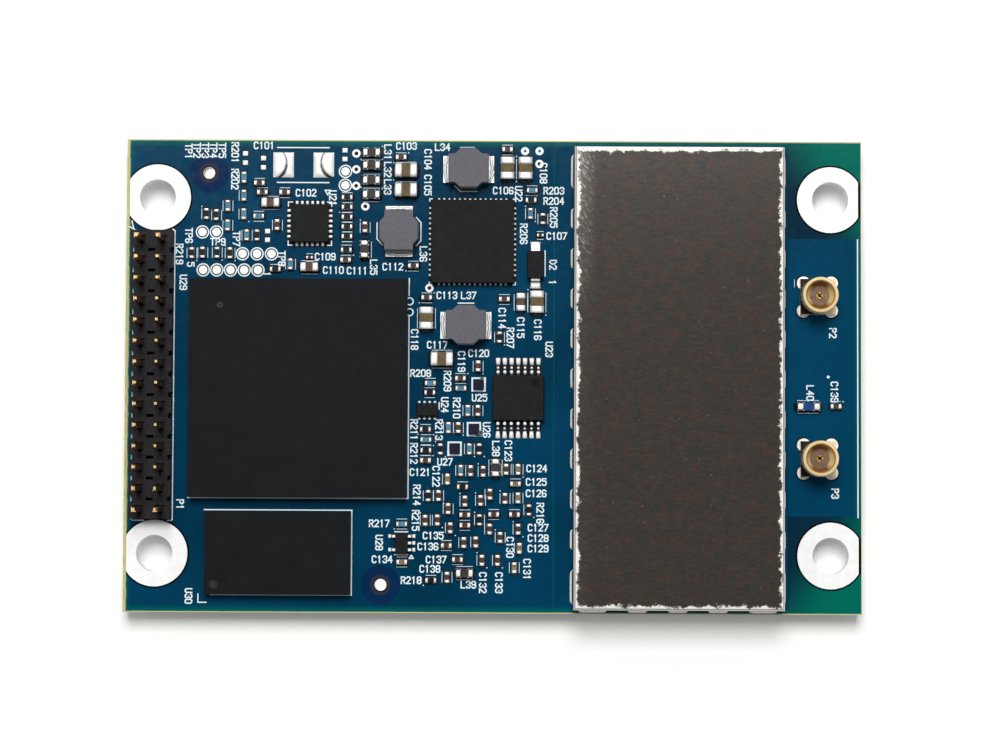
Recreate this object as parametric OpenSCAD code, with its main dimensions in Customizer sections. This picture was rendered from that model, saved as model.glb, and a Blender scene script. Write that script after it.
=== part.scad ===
/* [Board] */
// Length of the board along X
board_length = 71.1; // [69.5:0.1:80]
// Width of the board along Y
board_width = 45.7; // [45.4:0.1:50]
// Thickness of the laminate
board_thickness = 1.6; // [1:0.1:2.4]
// Drop of the soldered tails below the board
tail_drop = 1.2; // [0.9:0.1:2]
// Bore of the two tooling holes
tooling_bore = 1.15; // [0.8:0.05:1.6]

/* [Mounting holes] */
// Bore of a plated mounting hole
mount_bore = 3.5; // [2.5:0.1:4]
// Diameter of the bright ring round a mounting hole
ring_dia = 6.4; // [5:0.1:7]
// Hole centre to the nearest short edge
mount_edge_x = 3; // [2.6:0.1:3.4]
// Hole centre to the nearest long edge
mount_edge_y = 5.65; // [5:0.05:6]
// Bare strip between the flat of a ring and the short edge
ring_strip = 0.3; // [0.1:0.05:0.5]
// Thickness of plated copper
plating = 0.05; // [0.03:0.01:0.1]

/* [Pin header] */
// Rows of pins along Y
pin_rows = 14; // [4:1:14]
// Pitch of the pins
pin_pitch = 2; // [1.8:0.05:2.1]
// Side of a square pin
pin_side = 0.5; // [0.4:0.05:0.6]
// Tip of a pin above the board
pin_height = 5.5; // [4:0.1:8]
// Length of the tapered end of a pin
pin_taper = 0.4; // [0.2:0.05:0.6]
// Width of the housing
housing_width = 4; // [3.6:0.1:4.4]
// Height of the housing
housing_height = 1.5; // [1.2:0.1:2.5]
// Centre of the last pin to the end of the housing
housing_end = 0.9; // [0.8:0.05:1]
// Centre line of the header to the short edge
header_edge = 2.65; // [2.4:0.05:3]

/* [Coaxial jacks] */
// Spacing of the two jacks along Y
jack_spacing = 15.65; // [12:0.05:18]
// Centre of a jack to the short edge
jack_edge = 4.25; // [3:0.05:4.6]
// Rim of a jack above the board
jack_height = 3.2; // [2.8:0.1:4]
// Side of the square base
jack_base = 3.4; // [3.2:0.1:3.8]
// Thickness of the square base
jack_base_height = 0.8; // [0.6:0.05:1]
// Outer diameter of the shell
jack_shell_dia = 3.45; // [3.35:0.05:3.8]
// Bore of the shell
jack_bore = 2.6; // [2.4:0.05:2.8]
// Diameter of a leg
jack_leg_dia = 0.7; // [0.5:0.05:0.8]
// Outer diameter of the centre contact
contact_dia = 0.65; // [0.5:0.05:0.8]

/* [Shield can] */
// Height of the can above the board
shield_height = 2.6; // [2:0.1:4]
// Thickness of the sheet
shield_sheet = 0.2; // [0.15:0.01:0.3]
// Outer radius of the bends
shield_bend = 0.45; // [0.35:0.05:0.7]
// Open parts to the left wall
shield_left_gap = 2.75; // [1:0.05:5]
// Right wall to the short edge
shield_right_gap = 7.6; // [7.2:0.1:8]
// Top wall to the long edge
shield_top_gap = 0.8; // [0.6:0.05:1.2]
// Bottom wall to the long edge
shield_bottom_gap = 0.4; // [0.35:0.05:1.2]
// Length of a foot
foot_length = 2; // [1.5:0.1:2.5]
// Pitch of the feet
foot_pitch = 3.88; // [3.4:0.02:4.4]
// Opening under the wall between two feet
foot_opening = 0.3; // [0.2:0.05:0.6]

/* [Processor] */
// Side of the processor
processor_side = 21; // [19:0.5:21]
// Height of the processor above the board
processor_height = 1.5; // [1.2:0.05:2]

/* [Memory] */
// Length of the memory chip along X
memory_length = 14; // [12:0.5:14]
// Width of the memory chip along Y
memory_width = 8; // [7.4:0.1:8]
// Height of the memory chip above the board
memory_height = 1.2; // [1:0.05:1.6]

/* [Ball grids] */
// Pitch of the solder balls
ball_pitch = 0.8; // [0.65:0.01:0.8]
// Diameter of a soldered ball
ball_dia = 0.44; // [0.3:0.02:0.5]
// Stand-off of a soldered ball
ball_height = 0.32; // [0.2:0.02:0.4]
// Thickness of a chip's substrate
substrate_height = 0.3; // [0.2:0.02:0.4]

/* [Leadless chips] */
// Side of the power chip
power_chip_side = 8; // [7.6:0.1:8.2]
// Pads along one side of the power chip
power_chip_pads_side = 14; // [10:1:14]
// Side of the interface chip
interface_chip_side = 3.6; // [3.4:0.1:3.8]
// Pads along one side of the interface chip
interface_chip_pads_side = 6; // [4:1:6]
// Height of a leadless mould
leadless_height = 0.85; // [0.6:0.05:1]
// Pitch of the pads
pad_pitch = 0.5; // [0.4:0.01:0.5]
// Width of a pad
pad_width = 0.26; // [0.2:0.01:0.3]
// How far the power chip's pads show beyond its mould
power_pad_reach = 0.14; // [0.1:0.02:0.3]
// How far the interface chip's pads show beyond its mould
interface_pad_reach = 0.36; // [0.15:0.02:0.4]

/* [Leaded chips] */
// Length of the driver chip's mould
driver_length = 5; // [4.8:0.1:5.2]
// Width of the driver chip's mould
driver_width = 4.4; // [4:0.1:4.6]
// Height of the driver chip's mould
driver_height = 1; // [0.8:0.05:1.2]
// Thickness of lead frame metal
lead_sheet = 0.14; // [0.1:0.01:0.18]
// Stand-off under a leaded mould
mould_stand_off = 0.1; // [0.05:0.01:0.15]
// Draft of a moulded side, measured across
mould_draft = 0.08; // [0.04:0.01:0.12]

/* [Power inductors] */
// Length of the ferrite core between its terminals
core_length = 3.9; // [3.6:0.1:4]
// Width of the core over its bulge
core_width = 3.8; // [3.4:0.1:3.9]
// Height of the core
core_height = 1.8; // [1.4:0.1:2.4]
// Width of the core at its terminals
core_end_width = 2.76; // [2.4:0.02:2.9]
// Height of the core's top bevel
core_bevel = 0.1; // [0.05:0.01:0.15]
// Terminal showing past the core
terminal_reach = 0.5; // [0.3:0.05:0.55]

/* [Chip parts] */
// Length of a large chip part
large_length = 2.05; // [1.9:0.05:2.1]
// Width of a large chip part
large_width = 1.3; // [1.1:0.05:1.35]
// Height of a large chip part
large_height = 1.1; // [0.8:0.05:1.4]
// Length of a medium chip part
medium_length = 1.65; // [1.5:0.05:1.7]
// Width of a medium chip part
medium_width = 0.85; // [0.7:0.05:0.9]
// Height of a medium chip part
medium_height = 0.8; // [0.5:0.05:0.9]
// Length of a small chip part
small_length = 1.05; // [0.95:0.05:1.1]
// Width of a small chip part
small_width = 0.52; // [0.45:0.01:0.55]
// Height of a small chip part
small_height = 0.5; // [0.4:0.02:0.6]
// Share of a chip part's length under one end cap
cap_share = 0.3; // [0.2:0.01:0.35]
// Share of a resistor's length under one end cap
resistor_cap_share = 0.24; // [0.18:0.01:0.3]
// Height of a chip resistor
resistor_height = 0.34; // [0.25:0.01:0.45]
// Thickness of a resistor's coat
coat_height = 0.04; // [0.02:0.01:0.08]
// End cap standing proud of its body
cap_lip = 0.02; // [0.01:0.01:0.04]

/* [Hidden] */
$fn = 48;
board_bottom = tail_drop;
board_top = board_bottom + board_thickness;
left_edge = -board_length / 2;
right_edge = board_length / 2;
// Parts in the open field are placed from a datum this far from the left edge
field_datum = 35.55;
field_x = left_edge + field_datum;
// Right end of the parts in the open field, from the datum
field_reach = 5;
// Cutters run this far past a face
over = 0.5;
// Copper and solder parts keep this clear of a neighbour's footprint
keep_clear = 0.1;
// A drilled hole is this much wider than the pin in it
drill_clearance = 0.12;

mount_x = board_length / 2 - mount_edge_x;
mount_y = board_width / 2 - mount_edge_y;
header_x = left_edge + header_edge;
header_length = (pin_rows - 1) * pin_pitch + 2 * housing_end;
pin_half_taper = 0.12;
pin_pocket_side = 0.85;
pin_pocket_depth = 0.35;
row_slot = [0.7, 0.3];
side_notch_depth = 0.35;
side_notch_floor = 0.3;
side_notch_mouth = 0.7;
solder_cone_height = 0.55;
solder_cone_reach = 0.32;
solder_cone_tip = 0.06;

jack_x = right_edge - jack_edge;
jack_y_shift = -0.05;
jack_leg_inset = 0.37;
jack_leg_place = jack_base / 2 - jack_leg_inset;
jack_rim_chamfer = 0.16;
jack_lead_in = 0.14;
jack_lead_in_depth = 0.25;
snap_groove_depth = 0.14;
snap_groove_top = 0.45;
snap_groove_height = 0.2;
snap_groove_slope = 0.1;
jack_waist = 0.12;
jack_waist_height = 0.35;
throat_height = 0.4;
insulator_post_dia = 1.9;
insulator_depth = 1.2;
insulator_top = jack_height - insulator_depth;
contact_stand = 0.1;
contact_bore = 0.36;
contact_bore_depth = 1.1;
contact_slot = 0.12;
contact_slot_depth = 0.7;
contact_tail_dia = 0.45;
jack_pad_dia = 1.3;
jack_pad_height = 0.2;

shield_length = board_width - shield_top_gap - shield_bottom_gap;
shield_left = field_x + field_reach + shield_left_gap;
shield_right = right_edge - shield_right_gap;
shield_width = shield_right - shield_left;
shield_x = (shield_left + shield_right) / 2;
shield_inside = shield_width - 2 * shield_sheet;
shield_y = (shield_bottom_gap - shield_top_gap) / 2;
corner_slit = 0.16;
shield_fillet = 0.28;

processor_place = [-18.78, -1.25];
memory_place = [-20.62, -17.12];
dimple_depth = 0.06;
// Rows of balls kept at the rim of a square grid
rim_rows = 2;
// Outermost balls to the edge of the chip, at least
ball_margin = 0.85;
memory_ball_columns = 3;
memory_ball_reach = 3.2;
power_chip_place = [-2.05, 13];
interface_chip_place = [-17.8, 14.7];
pad_height = 0.1;
pad_tuck = 0.4;
thermal_pad_margin = 1;
driver_place = [2.43, -2.12];
regulator_place = [-8.72, -16.12];
regulator_size = [1.25, 2, 0.9];
buffer_place = [-6.35, -3.35];
buffer_size = [2.1, 1.15, 0.75];
switch_places = [[-1.4, -0.82], [-1.83, -5.13], [-3.68, -7.02]];
switch_side = 0.95;
switch_height = 0.5;
diode_place = [4.05, 10.75];
diode_size = [1.6, 2.7, 1.1];
inductor_places = [[-2.45, 20, 0], [-2.65, 4.87, 0], [-9.15, 13.95, 90]];
core_bulge_flat = 1.5;
core_shoulder = 1.3;
terminal_inset = 0.08;
terminal_height = 0.4;
bare_pad = [2, 2.45];
bare_pad_places = [[-20.4, 20.4], [-16.5, 20.4]];
bare_pad_pillow = 0.26;
bare_pad_shoulder = 0.35;
unused_pad = [0.5, 0.45];
unused_pad_places = [[-24.1, 21.5], [-24.1, 20.6], [-22.35, 21.05], [-22.35, 20.15], [-14.45, 21.85],
    [-14.45, 21], [-21.9, 13.95], [-21.9, 13.1]];
test_pad_dia = 0.82;
test_pad_places = [[-28.2, 13.85], [-26.85, 13.85], [-24.3, 11.75], [-22.9, 11.75], [-21.5, 11.75],
    [-28.1, 10.17], [-26.78, 10.17], [-25.45, 10.17], [-24.13, 10.17], [-22.8, 10.17],
    [-14.4, 19.8], [-14.4, 18.45]];
via_ring_dia = 0.8;
via_ring_bore = 0.38;
via_ring_places = [[-13.35, 21.55], [-13.35, 20], [-13.35, 18.4], [-12.45, 16.4], [4.4, 20.6], [-6.2, 8.5]];
tooling_places = [[-27.6, 19.6], [-10.75, -20.15]];

// Chip parts: length, width and height
large_chip = [large_length, large_width, large_height];
medium_chip = [medium_length, medium_width, medium_height];
small_chip = [small_length, small_width, small_height];
tiny_chip = [0.65, 0.32, 0.3];
resistor_chip = [small_length, small_width, resistor_height];
resistor_free = small_length * (1 - 2 * resistor_cap_share);
feed_chip = [2.2, 0.78, 0.8];

// Chip parts: place in the field, then the turn about Z
large_capacitors = [[-8.5, 19.85, 0], [-8.5, 17.95, 0], [1.3, 20.1, 90], [3.05, 20.1, 90], [4.2, 7.15, 90],
    [-6.47, 5.55, 90], [-4.95, 1.62, 0]];
medium_capacitors = [[-21.6, 16.7, 0], [-17.8, 10.45, 0], [2.65, 7.15, 90]];
small_capacitors = [
    [-22.7, 18.6, 0], [-22.4, 17.7, 0], [-20.25, 17.7, 0], [-20.95, 14.55, 90], [-9, 21.15, 0],
    [1.3, 21.95, 0], [-12.45, 14.35, 90], [-14.3, 11.17, 0], [-7.75, 10.62, 0], [-6.45, 7.55, 0],
    [1.05, 7.42, 0], [-1.45, 0.95, 90], [-3.15, -0.25, 0], [-1.45, -3.35, 90], [-3.33, -5, 90],
    [-6.47, -8.18, 0], [-2.12, -9.15, 90], [-0.92, -9.2, 90], [1.3, -9, 90], [-5.2, -11.55, 90],
    [-0.25, -11.4, 90], [-2.66, -12.07, 90], [-1.16, -12, 90], [1.2, -11.8, 90],
    [-4.27, -12.8, 90], [-2.66, -13.4, 0], [0.12, -13.35, 0], [2.12, -13.35, 0], [-6.47, -13.93, 90],
    [-5.3, -13.9, 90], [-4.05, -14.65, 90], [-2.65, -14.4, 0], [-0.27, -14.75, 90], [2.47, -14.75, 90],
    [0.75, -15.55, 90], [-2.75, -16.05, 90], [-1.6, -16, 90], [-4.42, -16.35, 0], [-3.35, -17.7, 0],
    [-1, -17.75, 90], [-4.35, -19.4, 90], [0.5, -17.75, 90]];
tan_capacitors = [[2.45, -9, 90], [2.2, -10.4, 0], [2.45, -11.75, 90], [2.6, -16.58, 90], [-4.35, -9.97, 90],
    [2.12, -18.45, 90], [-8.7, -17.95, 0]];
tiny_capacitors = [[-17.8, 11.4, 0], [4.5, 13.65, 0]];
blue_resistors = [[-24.2, 19.15, 90], [-24.2, 17.4, 90], [-25.75, 16.4, 90], [-25.75, 14.5, 90],
    [-24.2, 15.6, 90], [-22.75, 15.4, 0], [-23.9, 13.55, 90], [-19.65, 10.75, 90], [3.7, 18, 0],
    [3.55, 15.75, 90], [-6.05, -0.72, 0], [-3.1, -1.2, 0], [-2.42, -3.35, 90], [-4.28, -5, 90],
    [-6.45, -6.17, 0], [-2.25, -7.05, 90], [-3.08, -9.12, 90], [-8.73, -14.3, 0]];
black_resistors = [[-27.8, 15.6, 90], [-26.85, 15.5, 90], [-22.9, 13.55, 90], [-29.2, 11.8, 90],
    [-28.15, 11.85, 90], [-26.75, 11.85, 90], [-25.5, 11.8, 90], [-21.1, 10.25, 0], [-14.2, 17.25, 0],
    [-14.2, 16.3, 0], [-14.2, 15.35, 0], [-14.2, 14.4, 0], [-14.2, 13.45, 0], [-14.25, 12.15, 0],
    [3.6, 17.05, 0], [4.75, 15.25, 90], [0.6, 3.75, 90], [-6.1, -1.63, 0], [-6.5, -5.18, 0],
    [-6.45, -7.2, 0], [-5.05, -7.07, 90], [-1.3, -7.05, 90], [-2.9, -10.7, 0], [-6.2, -11.57, 90],
    [3.5, -12.9, 90], [-1.25, -13.87, 90], [-5.9, -19.7, 0]];
beads = [[-11.85, 21.6, 0], [-11.85, 20.35, 0], [-11.85, 18.9, 0], [-11.85, 17.5, 0], [-12.48, 12.2, 90],
    [0.27, -8.85, 90], [-2.67, -19, 0]];
// Two parts stand between the jacks, placed from the lower one
feed_inductor_shift = [-0.9, 5.03];
strip_capacitor_shift = [1.75, 5.07];

// Parts under the shield can, placed from its centre
receiver_place = [0, -9];
receiver_side = 12;
receiver_height = 1.2;
tuner_y = 6.5;
tuner_places = [for (side = [-1, 1]) [side * shield_inside / 4, tuner_y]];
tuner_side = 5;
tuner_pads_side = 8;
filter_y = 12.4;
antenna_filter_y = 17.2;
filter_places = concat([for (column = [-1.5:1.5]) [column * shield_inside / 4, filter_y]],
    [for (side = [-1, 1]) [side * shield_inside / 4, antenna_filter_y]]);
filter_size = [1.4, 1.1, 0.6];
oscillator_place = [0, -0.8];
oscillator_base_size = [3.2, 2.5, 0.7];
oscillator_lid_margin = 0.3;
oscillator_lid_height = 0.2;
covered_columns = 7;
covered_rows = [2, 10.2, 14.8];
covered_capacitors = [for (column = [1:covered_columns], row = covered_rows)
    [(column / (covered_columns + 1) - 0.5) * shield_inside, row, 90]];
// Capacitors under the board stand in rows below the processor
under_columns = 7;
under_lines = 5;
under_pitch = [1.8, 2.4];
under_capacitors = [for (column = [1:under_columns], line = [1:under_lines])
    [(column - (under_columns + 1) / 2) * under_pitch[0],
        (line - (under_lines + 1) / 2) * under_pitch[1], 90]];

// Places

module in_field(place, turn = 0)
    translate([field_x + place[0], place[1], board_top])
        rotate(turn)
            children();

module each_in_field(places)
    for (place = places)
        in_field(place, place[2])
            children();

module in_can(place, turn = 0)
    translate([shield_x + place[0], shield_y + place[1], board_top])
        rotate(turn)
            children();

module each_mount()
    for (side_x = [-1, 1], side_y = [-1, 1])
        translate([side_x * mount_x, side_y * mount_y, 0])
            children();

module each_pin()
    for (row = [0:pin_rows - 1], side = [-1, 1])
        translate([header_x + side * pin_pitch / 2, (row - (pin_rows - 1) / 2) * pin_pitch, 0])
            children();

module each_jack()
    for (side = [-1, 1])
        translate([jack_x, jack_y_shift + side * jack_spacing / 2, board_top])
            children();

module between_jacks(shift)
    translate([jack_x + shift[0], jack_y_shift - jack_spacing / 2 + shift[1], board_top])
        children();

module each_leg()
    for (side_x = [-1, 1], side_y = [-1, 1])
        translate([side_x * jack_leg_place, side_y * jack_leg_place, 0])
            children();

module four_sides()
    for (turn = [0:90:270])
        rotate(turn)
            children();

module mirrored_pair()
    for (turn = [0, 180])
        rotate(turn)
            children();

// Shapes that repeat

module centred_block(size)
    translate([-size[0] / 2, -size[1] / 2, 0])
        cube(size);

// Six-sided section of a moulded body, widest at its parting line
module mould_section(span, height)
    polygon([[-span / 2 + mould_draft, 0], [span / 2 - mould_draft, 0], [span / 2, height / 2],
        [span / 2 - mould_draft, height], [-span / 2 + mould_draft, height], [-span / 2, height / 2]]);

module moulded_block(length, width, height)
    intersection() {
        rotate([90, 0, 0])
            linear_extrude(width, center = true)
                mould_section(length, height);
        rotate([90, 0, 90])
            linear_extrude(length, center = true)
                mould_section(width, height);
    }

// Gull wing lead: leaves the mould at mid height, bends down and ends in a flat foot
module gull_lead(width, exit_height, shoulder, drop, foot)
    translate([0, width / 2, 0])
        rotate([90, 0, 0])
            linear_extrude(width)
                polygon([[0, exit_height - lead_sheet / 2], [shoulder, exit_height - lead_sheet / 2],
                    [shoulder + drop, 0], [shoulder + drop + foot, 0],
                    [shoulder + drop + foot, lead_sheet], [shoulder + drop + lead_sheet / 2, lead_sheet],
                    [shoulder + lead_sheet / 2, exit_height + lead_sheet / 2],
                    [0, exit_height + lead_sheet / 2]]);

// Flat pads that run from under a leadless mould to just outside it
module pad_row(count, side, reach)
    for (index = [0:count - 1])
        translate([side / 2 - pad_tuck, (index - (count - 1) / 2) * pad_pitch - pad_width / 2, 0])
            cube([pad_tuck + reach, pad_width, pad_height]);

module leadless_pads(count, side, reach) {
    four_sides()
        pad_row(count, side, reach);
    thermal_side = side - 2 * pad_tuck - thermal_pad_margin;
    centred_block([thermal_side, thermal_side, pad_height]);
}

module leadless_mould(side)
    translate([0, 0, pad_height])
        centred_block([side, side, leadless_height]);

module ball()
    cylinder(h = ball_height, d = ball_dia);

// Odd and even numbers of balls that fit across a side
function odd_balls(side) = 2 * floor((side / 2 - ball_margin) / ball_pitch) + 1;
function even_balls(side) = 2 * floor((side / 2 - ball_margin) / ball_pitch + 0.5);

// The outer rows of a square ball grid
module ball_frame(side) {
    last = odd_balls(side) - 1;
    for (column = [0:last], row = [0:last])
        if (min(column, row, last - column, last - row) < rim_rows)
            translate([(column - last / 2) * ball_pitch, (row - last / 2) * ball_pitch, 0])
                ball();
}

module chip_substrate(length, width)
    translate([0, 0, ball_height])
        centred_block([length, width, substrate_height]);

module chip_mould(length, width, height)
    translate([0, 0, ball_height + substrate_height])
        centred_block([length, width, height - ball_height - substrate_height]);

module round_dimple(place, dia, height)
    translate([place[0], place[1], height - dimple_depth])
        cylinder(h = dimple_depth + over, d = dia);

// Chip part: a body between two end caps, which stand a little proud of it
module chip_body(size)
    translate([0, 0, cap_lip])
        centred_block([size[0] * (1 - 2 * cap_share), size[1] - 2 * cap_lip, size[2] - 2 * cap_lip]);

module chip_ends(size, share = cap_share)
    mirrored_pair()
        translate([size[0] * (1 - share) / 2, 0, 0])
            centred_block([size[0] * share, size[1], size[2]]);

// A resistor's body carries a thin coat between the end caps
module resistor_body()
    translate([0, 0, cap_lip])
        centred_block([resistor_free, small_width - 2 * cap_lip,
            resistor_height - coat_height - 2 * cap_lip]);

module resistor_coat()
    translate([0, 0, resistor_height - coat_height - cap_lip])
        centred_block([resistor_free, small_width - 2 * cap_lip, coat_height]);

// Solder cone round a tail under the board, hanging down from the pad
module tail_solder(tail_reach)
    translate([0, 0, board_bottom - solder_cone_height])
        cylinder(h = solder_cone_height, r1 = tail_reach + solder_cone_tip,
            r2 = tail_reach + solder_cone_reach);

// Board

module circuit_board()
    color("#05466e")
        difference() {
            translate([0, 0, board_bottom])
                centred_block([board_length, board_width, board_thickness]);
            translate([0, 0, board_bottom - over]) {
                each_mount()
                    cylinder(h = board_thickness + 2 * over, d = mount_bore + 2 * plating);
                for (place = tooling_places)
                    translate([field_x + place[0], place[1], 0])
                        cylinder(h = board_thickness + 2 * over, d = tooling_bore);
                each_pin()
                    cylinder(h = board_thickness + 2 * over, d = pin_side * sqrt(2) + drill_clearance);
            }
            each_jack()
                translate([0, 0, -board_thickness - over]) {
                    each_leg()
                        cylinder(h = board_thickness + 2 * over, d = jack_leg_dia + drill_clearance);
                    cylinder(h = board_thickness + 2 * over, d = contact_tail_dia + drill_clearance);
                }
        }

// Plated eyelet: a ring on each face joined by the barrel in the hole
module eyelet()
    rotate_extrude() {
        translate([mount_bore / 2, board_bottom - plating])
            square([plating, board_thickness + 2 * plating]);
        for (level = [board_bottom - plating, board_top])
            translate([mount_bore / 2, level])
                square([(ring_dia - mount_bore) / 2, plating]);
    }

module mount_rings()
    color("#e8e8e6")
        difference() {
            intersection() {
                each_mount()
                    eyelet();
                centred_block([board_length - 2 * ring_strip, board_width, board_top + over]);
            }
            translate([header_x, 0, board_top])
                centred_block([housing_width + 2 * keep_clear, header_length + 2 * keep_clear, over]);
        }

module test_pads()
    color("#e8e8e6") {
        for (place = test_pad_places)
            in_field(place)
                cylinder(h = plating, d = test_pad_dia);
        for (place = via_ring_places)
            in_field(place)
                difference() {
                    cylinder(h = plating, d = via_ring_dia);
                    translate([0, 0, -over])
                        cylinder(h = plating + 2 * over, d = via_ring_bore);
                }
    }

// A bar along X whose section has sloping shoulders.
module pillow_bar(length, width)
    rotate([90, 0, 90])
        linear_extrude(length, center = true)
            polygon([[-width / 2, 0], [width / 2, 0], [width / 2, plating],
                [width / 2 - bare_pad_shoulder, bare_pad_pillow],
                [bare_pad_shoulder - width / 2, bare_pad_pillow], [-width / 2, plating]]);

module solder_pads()
    color("#d9d9d6") {
        for (place = bare_pad_places)
            in_field(place)
                intersection() {
                    pillow_bar(bare_pad[0], bare_pad[1]);
                    rotate([0, 0, 90])
                        pillow_bar(bare_pad[1], bare_pad[0]);
                }
        for (place = unused_pad_places)
            in_field(place)
                centred_block([unused_pad[0], unused_pad[1], plating]);
    }

// Pin header

module side_notch()
    polygon([[0, -side_notch_mouth / 2], [side_notch_depth, -side_notch_floor / 2],
        [side_notch_depth, side_notch_floor / 2], [0, side_notch_mouth / 2]]);

module housing_outline()
    difference() {
        square([housing_width, header_length], center = true);
        for (row = [1:pin_rows - 1])
            translate([0, (row - pin_rows / 2) * pin_pitch]) {
                square(row_slot, center = true);
                translate([-housing_width / 2, 0])
                    side_notch();
                translate([housing_width / 2, 0])
                    mirror([1, 0])
                        side_notch();
            }
    }

module header_housing()
    color("#28262a")
        difference() {
            translate([header_x, 0, board_top])
                linear_extrude(housing_height)
                    housing_outline();
            each_pin() {
                translate([0, 0, board_top - over])
                    centred_block([pin_side, pin_side, housing_height + 2 * over]);
                translate([0, 0, board_top + housing_height - pin_pocket_depth])
                    centred_block([pin_pocket_side, pin_pocket_side, pin_pocket_depth + over]);
            }
        }

// Side view of a pin, tapered at both ends
module pin_section()
    polygon([[-pin_half_taper, 0], [pin_half_taper, 0], [pin_side / 2, pin_taper],
        [pin_side / 2, board_top + pin_height - pin_taper], [pin_half_taper, board_top + pin_height],
        [-pin_half_taper, board_top + pin_height], [-pin_side / 2, board_top + pin_height - pin_taper],
        [-pin_side / 2, pin_taper]]);

module header_pins()
    color("#be9650")
        each_pin()
            intersection() {
                rotate([90, 0, 0])
                    linear_extrude(pin_side, center = true)
                        pin_section();
                rotate([90, 0, 90])
                    linear_extrude(pin_side, center = true)
                        pin_section();
            }

module header_solder()
    color("#c8c8c6")
        each_pin()
            difference() {
                tail_solder(pin_side * sqrt(2) / 2);
                translate([0, 0, -over])
                    centred_block([pin_side, pin_side, board_top + over]);
            }

// Coaxial jacks

// Half section of the turned shell: waist outside, lead-in, snap groove and conical throat inside
module shell_section()
    polygon([[insulator_post_dia / 2, 0],
        [jack_shell_dia / 2, 0],
        [jack_shell_dia / 2, jack_base_height],
        [jack_shell_dia / 2 - jack_waist, jack_base_height],
        [jack_shell_dia / 2 - jack_waist, jack_base_height + jack_waist_height],
        [jack_shell_dia / 2, jack_base_height + jack_waist_height + jack_waist],
        [jack_shell_dia / 2, jack_height - jack_rim_chamfer],
        [jack_shell_dia / 2 - jack_rim_chamfer, jack_height],
        [jack_bore / 2 + jack_lead_in, jack_height],
        [jack_bore / 2, jack_height - jack_lead_in_depth],
        [jack_bore / 2, jack_height - snap_groove_top + snap_groove_slope],
        [jack_bore / 2 + snap_groove_depth, jack_height - snap_groove_top],
        [jack_bore / 2 + snap_groove_depth, jack_height - snap_groove_top - snap_groove_height],
        [jack_bore / 2, jack_height - snap_groove_top - snap_groove_height - snap_groove_slope],
        [jack_bore / 2, insulator_top + throat_height],
        [insulator_post_dia / 2, insulator_top]]);

module jack_shells()
    color("#be9650")
        each_jack() {
            difference() {
                union() {
                    rotate_extrude()
                        shell_section();
                    centred_block([jack_base, jack_base, jack_base_height]);
                }
                translate([0, 0, -over])
                    cylinder(h = jack_base_height + 2 * over, d = insulator_post_dia);
            }
            each_leg()
                translate([0, 0, -board_thickness - tail_drop])
                    cylinder(h = board_thickness + tail_drop, d = jack_leg_dia);
        }

module jack_insulators()
    color("#8a6f62")
        each_jack()
            rotate_extrude()
                polygon([[contact_dia / 2, 0], [insulator_post_dia / 2, 0],
                    [insulator_post_dia / 2, insulator_top], [contact_dia / 2, insulator_top]]);

module jack_contacts()
    color("#d2aa5f")
        each_jack() {
            difference() {
                cylinder(h = insulator_top + contact_stand, d = contact_dia);
                translate([0, 0, insulator_top + contact_stand - contact_bore_depth])
                    cylinder(h = contact_bore_depth + over, d = contact_bore);
                for (turn = [45, 135])
                    rotate(turn)
                        translate([0, 0, insulator_top + contact_stand - contact_slot_depth])
                            centred_block([contact_dia + over, contact_slot, contact_slot_depth + over]);
            }
            translate([0, 0, -board_thickness - tail_drop])
                cylinder(h = board_thickness + tail_drop, d = contact_tail_dia);
        }

module jack_solder()
    color("#dcdcd8")
        each_jack() {
            difference() {
                each_leg()
                    cylinder(h = jack_pad_height, d = jack_pad_dia);
                translate([0, 0, -over])
                    centred_block([jack_base, jack_base, jack_pad_height + 2 * over]);
            }
            each_leg()
                difference() {
                    translate([0, 0, -board_top])
                        tail_solder(jack_leg_dia / 2);
                    translate([0, 0, -board_top])
                        cylinder(h = board_top, d = jack_leg_dia);
                }
            difference() {
                translate([0, 0, -board_top])
                    tail_solder(contact_tail_dia / 2);
                translate([0, 0, -board_top])
                    cylinder(h = board_top, d = contact_tail_dia);
            }
        }

// Shield can

function foot_count(span) = 2 * floor((span / 2 - foot_length) / foot_pitch) - 1;
function corner_foot_start(span) = (foot_count(span) + 1) / 2 * foot_pitch - foot_length / 2;

// Side view of the can, with both top bends
module can_section(span, height, bend)
    union() {
        translate([-span / 2, 0])
            square([span, height - bend]);
        translate([-span / 2 + bend, 0])
            square([span - 2 * bend, height]);
        for (side = [-1, 1])
            translate([side * (span / 2 - bend), height - bend])
                circle(r = bend);
    }

module can_block(width, length, height, bend)
    intersection() {
        rotate([90, 0, 0])
            linear_extrude(length, center = true)
                can_section(width, height, bend);
        rotate([90, 0, 90])
            linear_extrude(width, center = true)
                can_section(length, height, bend);
    }

// Openings between the feet of the two walls that run along Y
module foot_openings(width, length)
    for (index = [0:foot_count(length)])
        translate([0, (index - foot_count(length) / 2) * foot_pitch, -over])
            centred_block([width + over, foot_pitch - foot_length, foot_opening + over]);

module shield_can()
    color("#6b655e")
        in_can([0, 0])
            difference() {
                can_block(shield_width, shield_length, shield_height, shield_bend);
                translate([0, 0, -over])
                    can_block(shield_width - 2 * shield_sheet, shield_length - 2 * shield_sheet,
                        shield_height - shield_sheet + over, shield_bend - shield_sheet);
                foot_openings(shield_width, shield_length);
                rotate(90)
                    foot_openings(shield_length, shield_width);
                for (side_x = [-1, 1])
                    translate([side_x * (shield_width / 2 - shield_sheet - corner_slit / 2), 0, -over])
                        centred_block([corner_slit, shield_length + over,
                            shield_height - shield_bend + over]);
            }

// Solder run along a foot, outside the wall at the given distance
module foot_fillet(wall, start, length)
    translate([wall, start, 0])
        rotate([90, 0, 180])
            mirror([1, 0, 0])
                linear_extrude(length)
                    polygon([[0, 0], [shield_fillet, 0], [0, shield_fillet]]);

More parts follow.
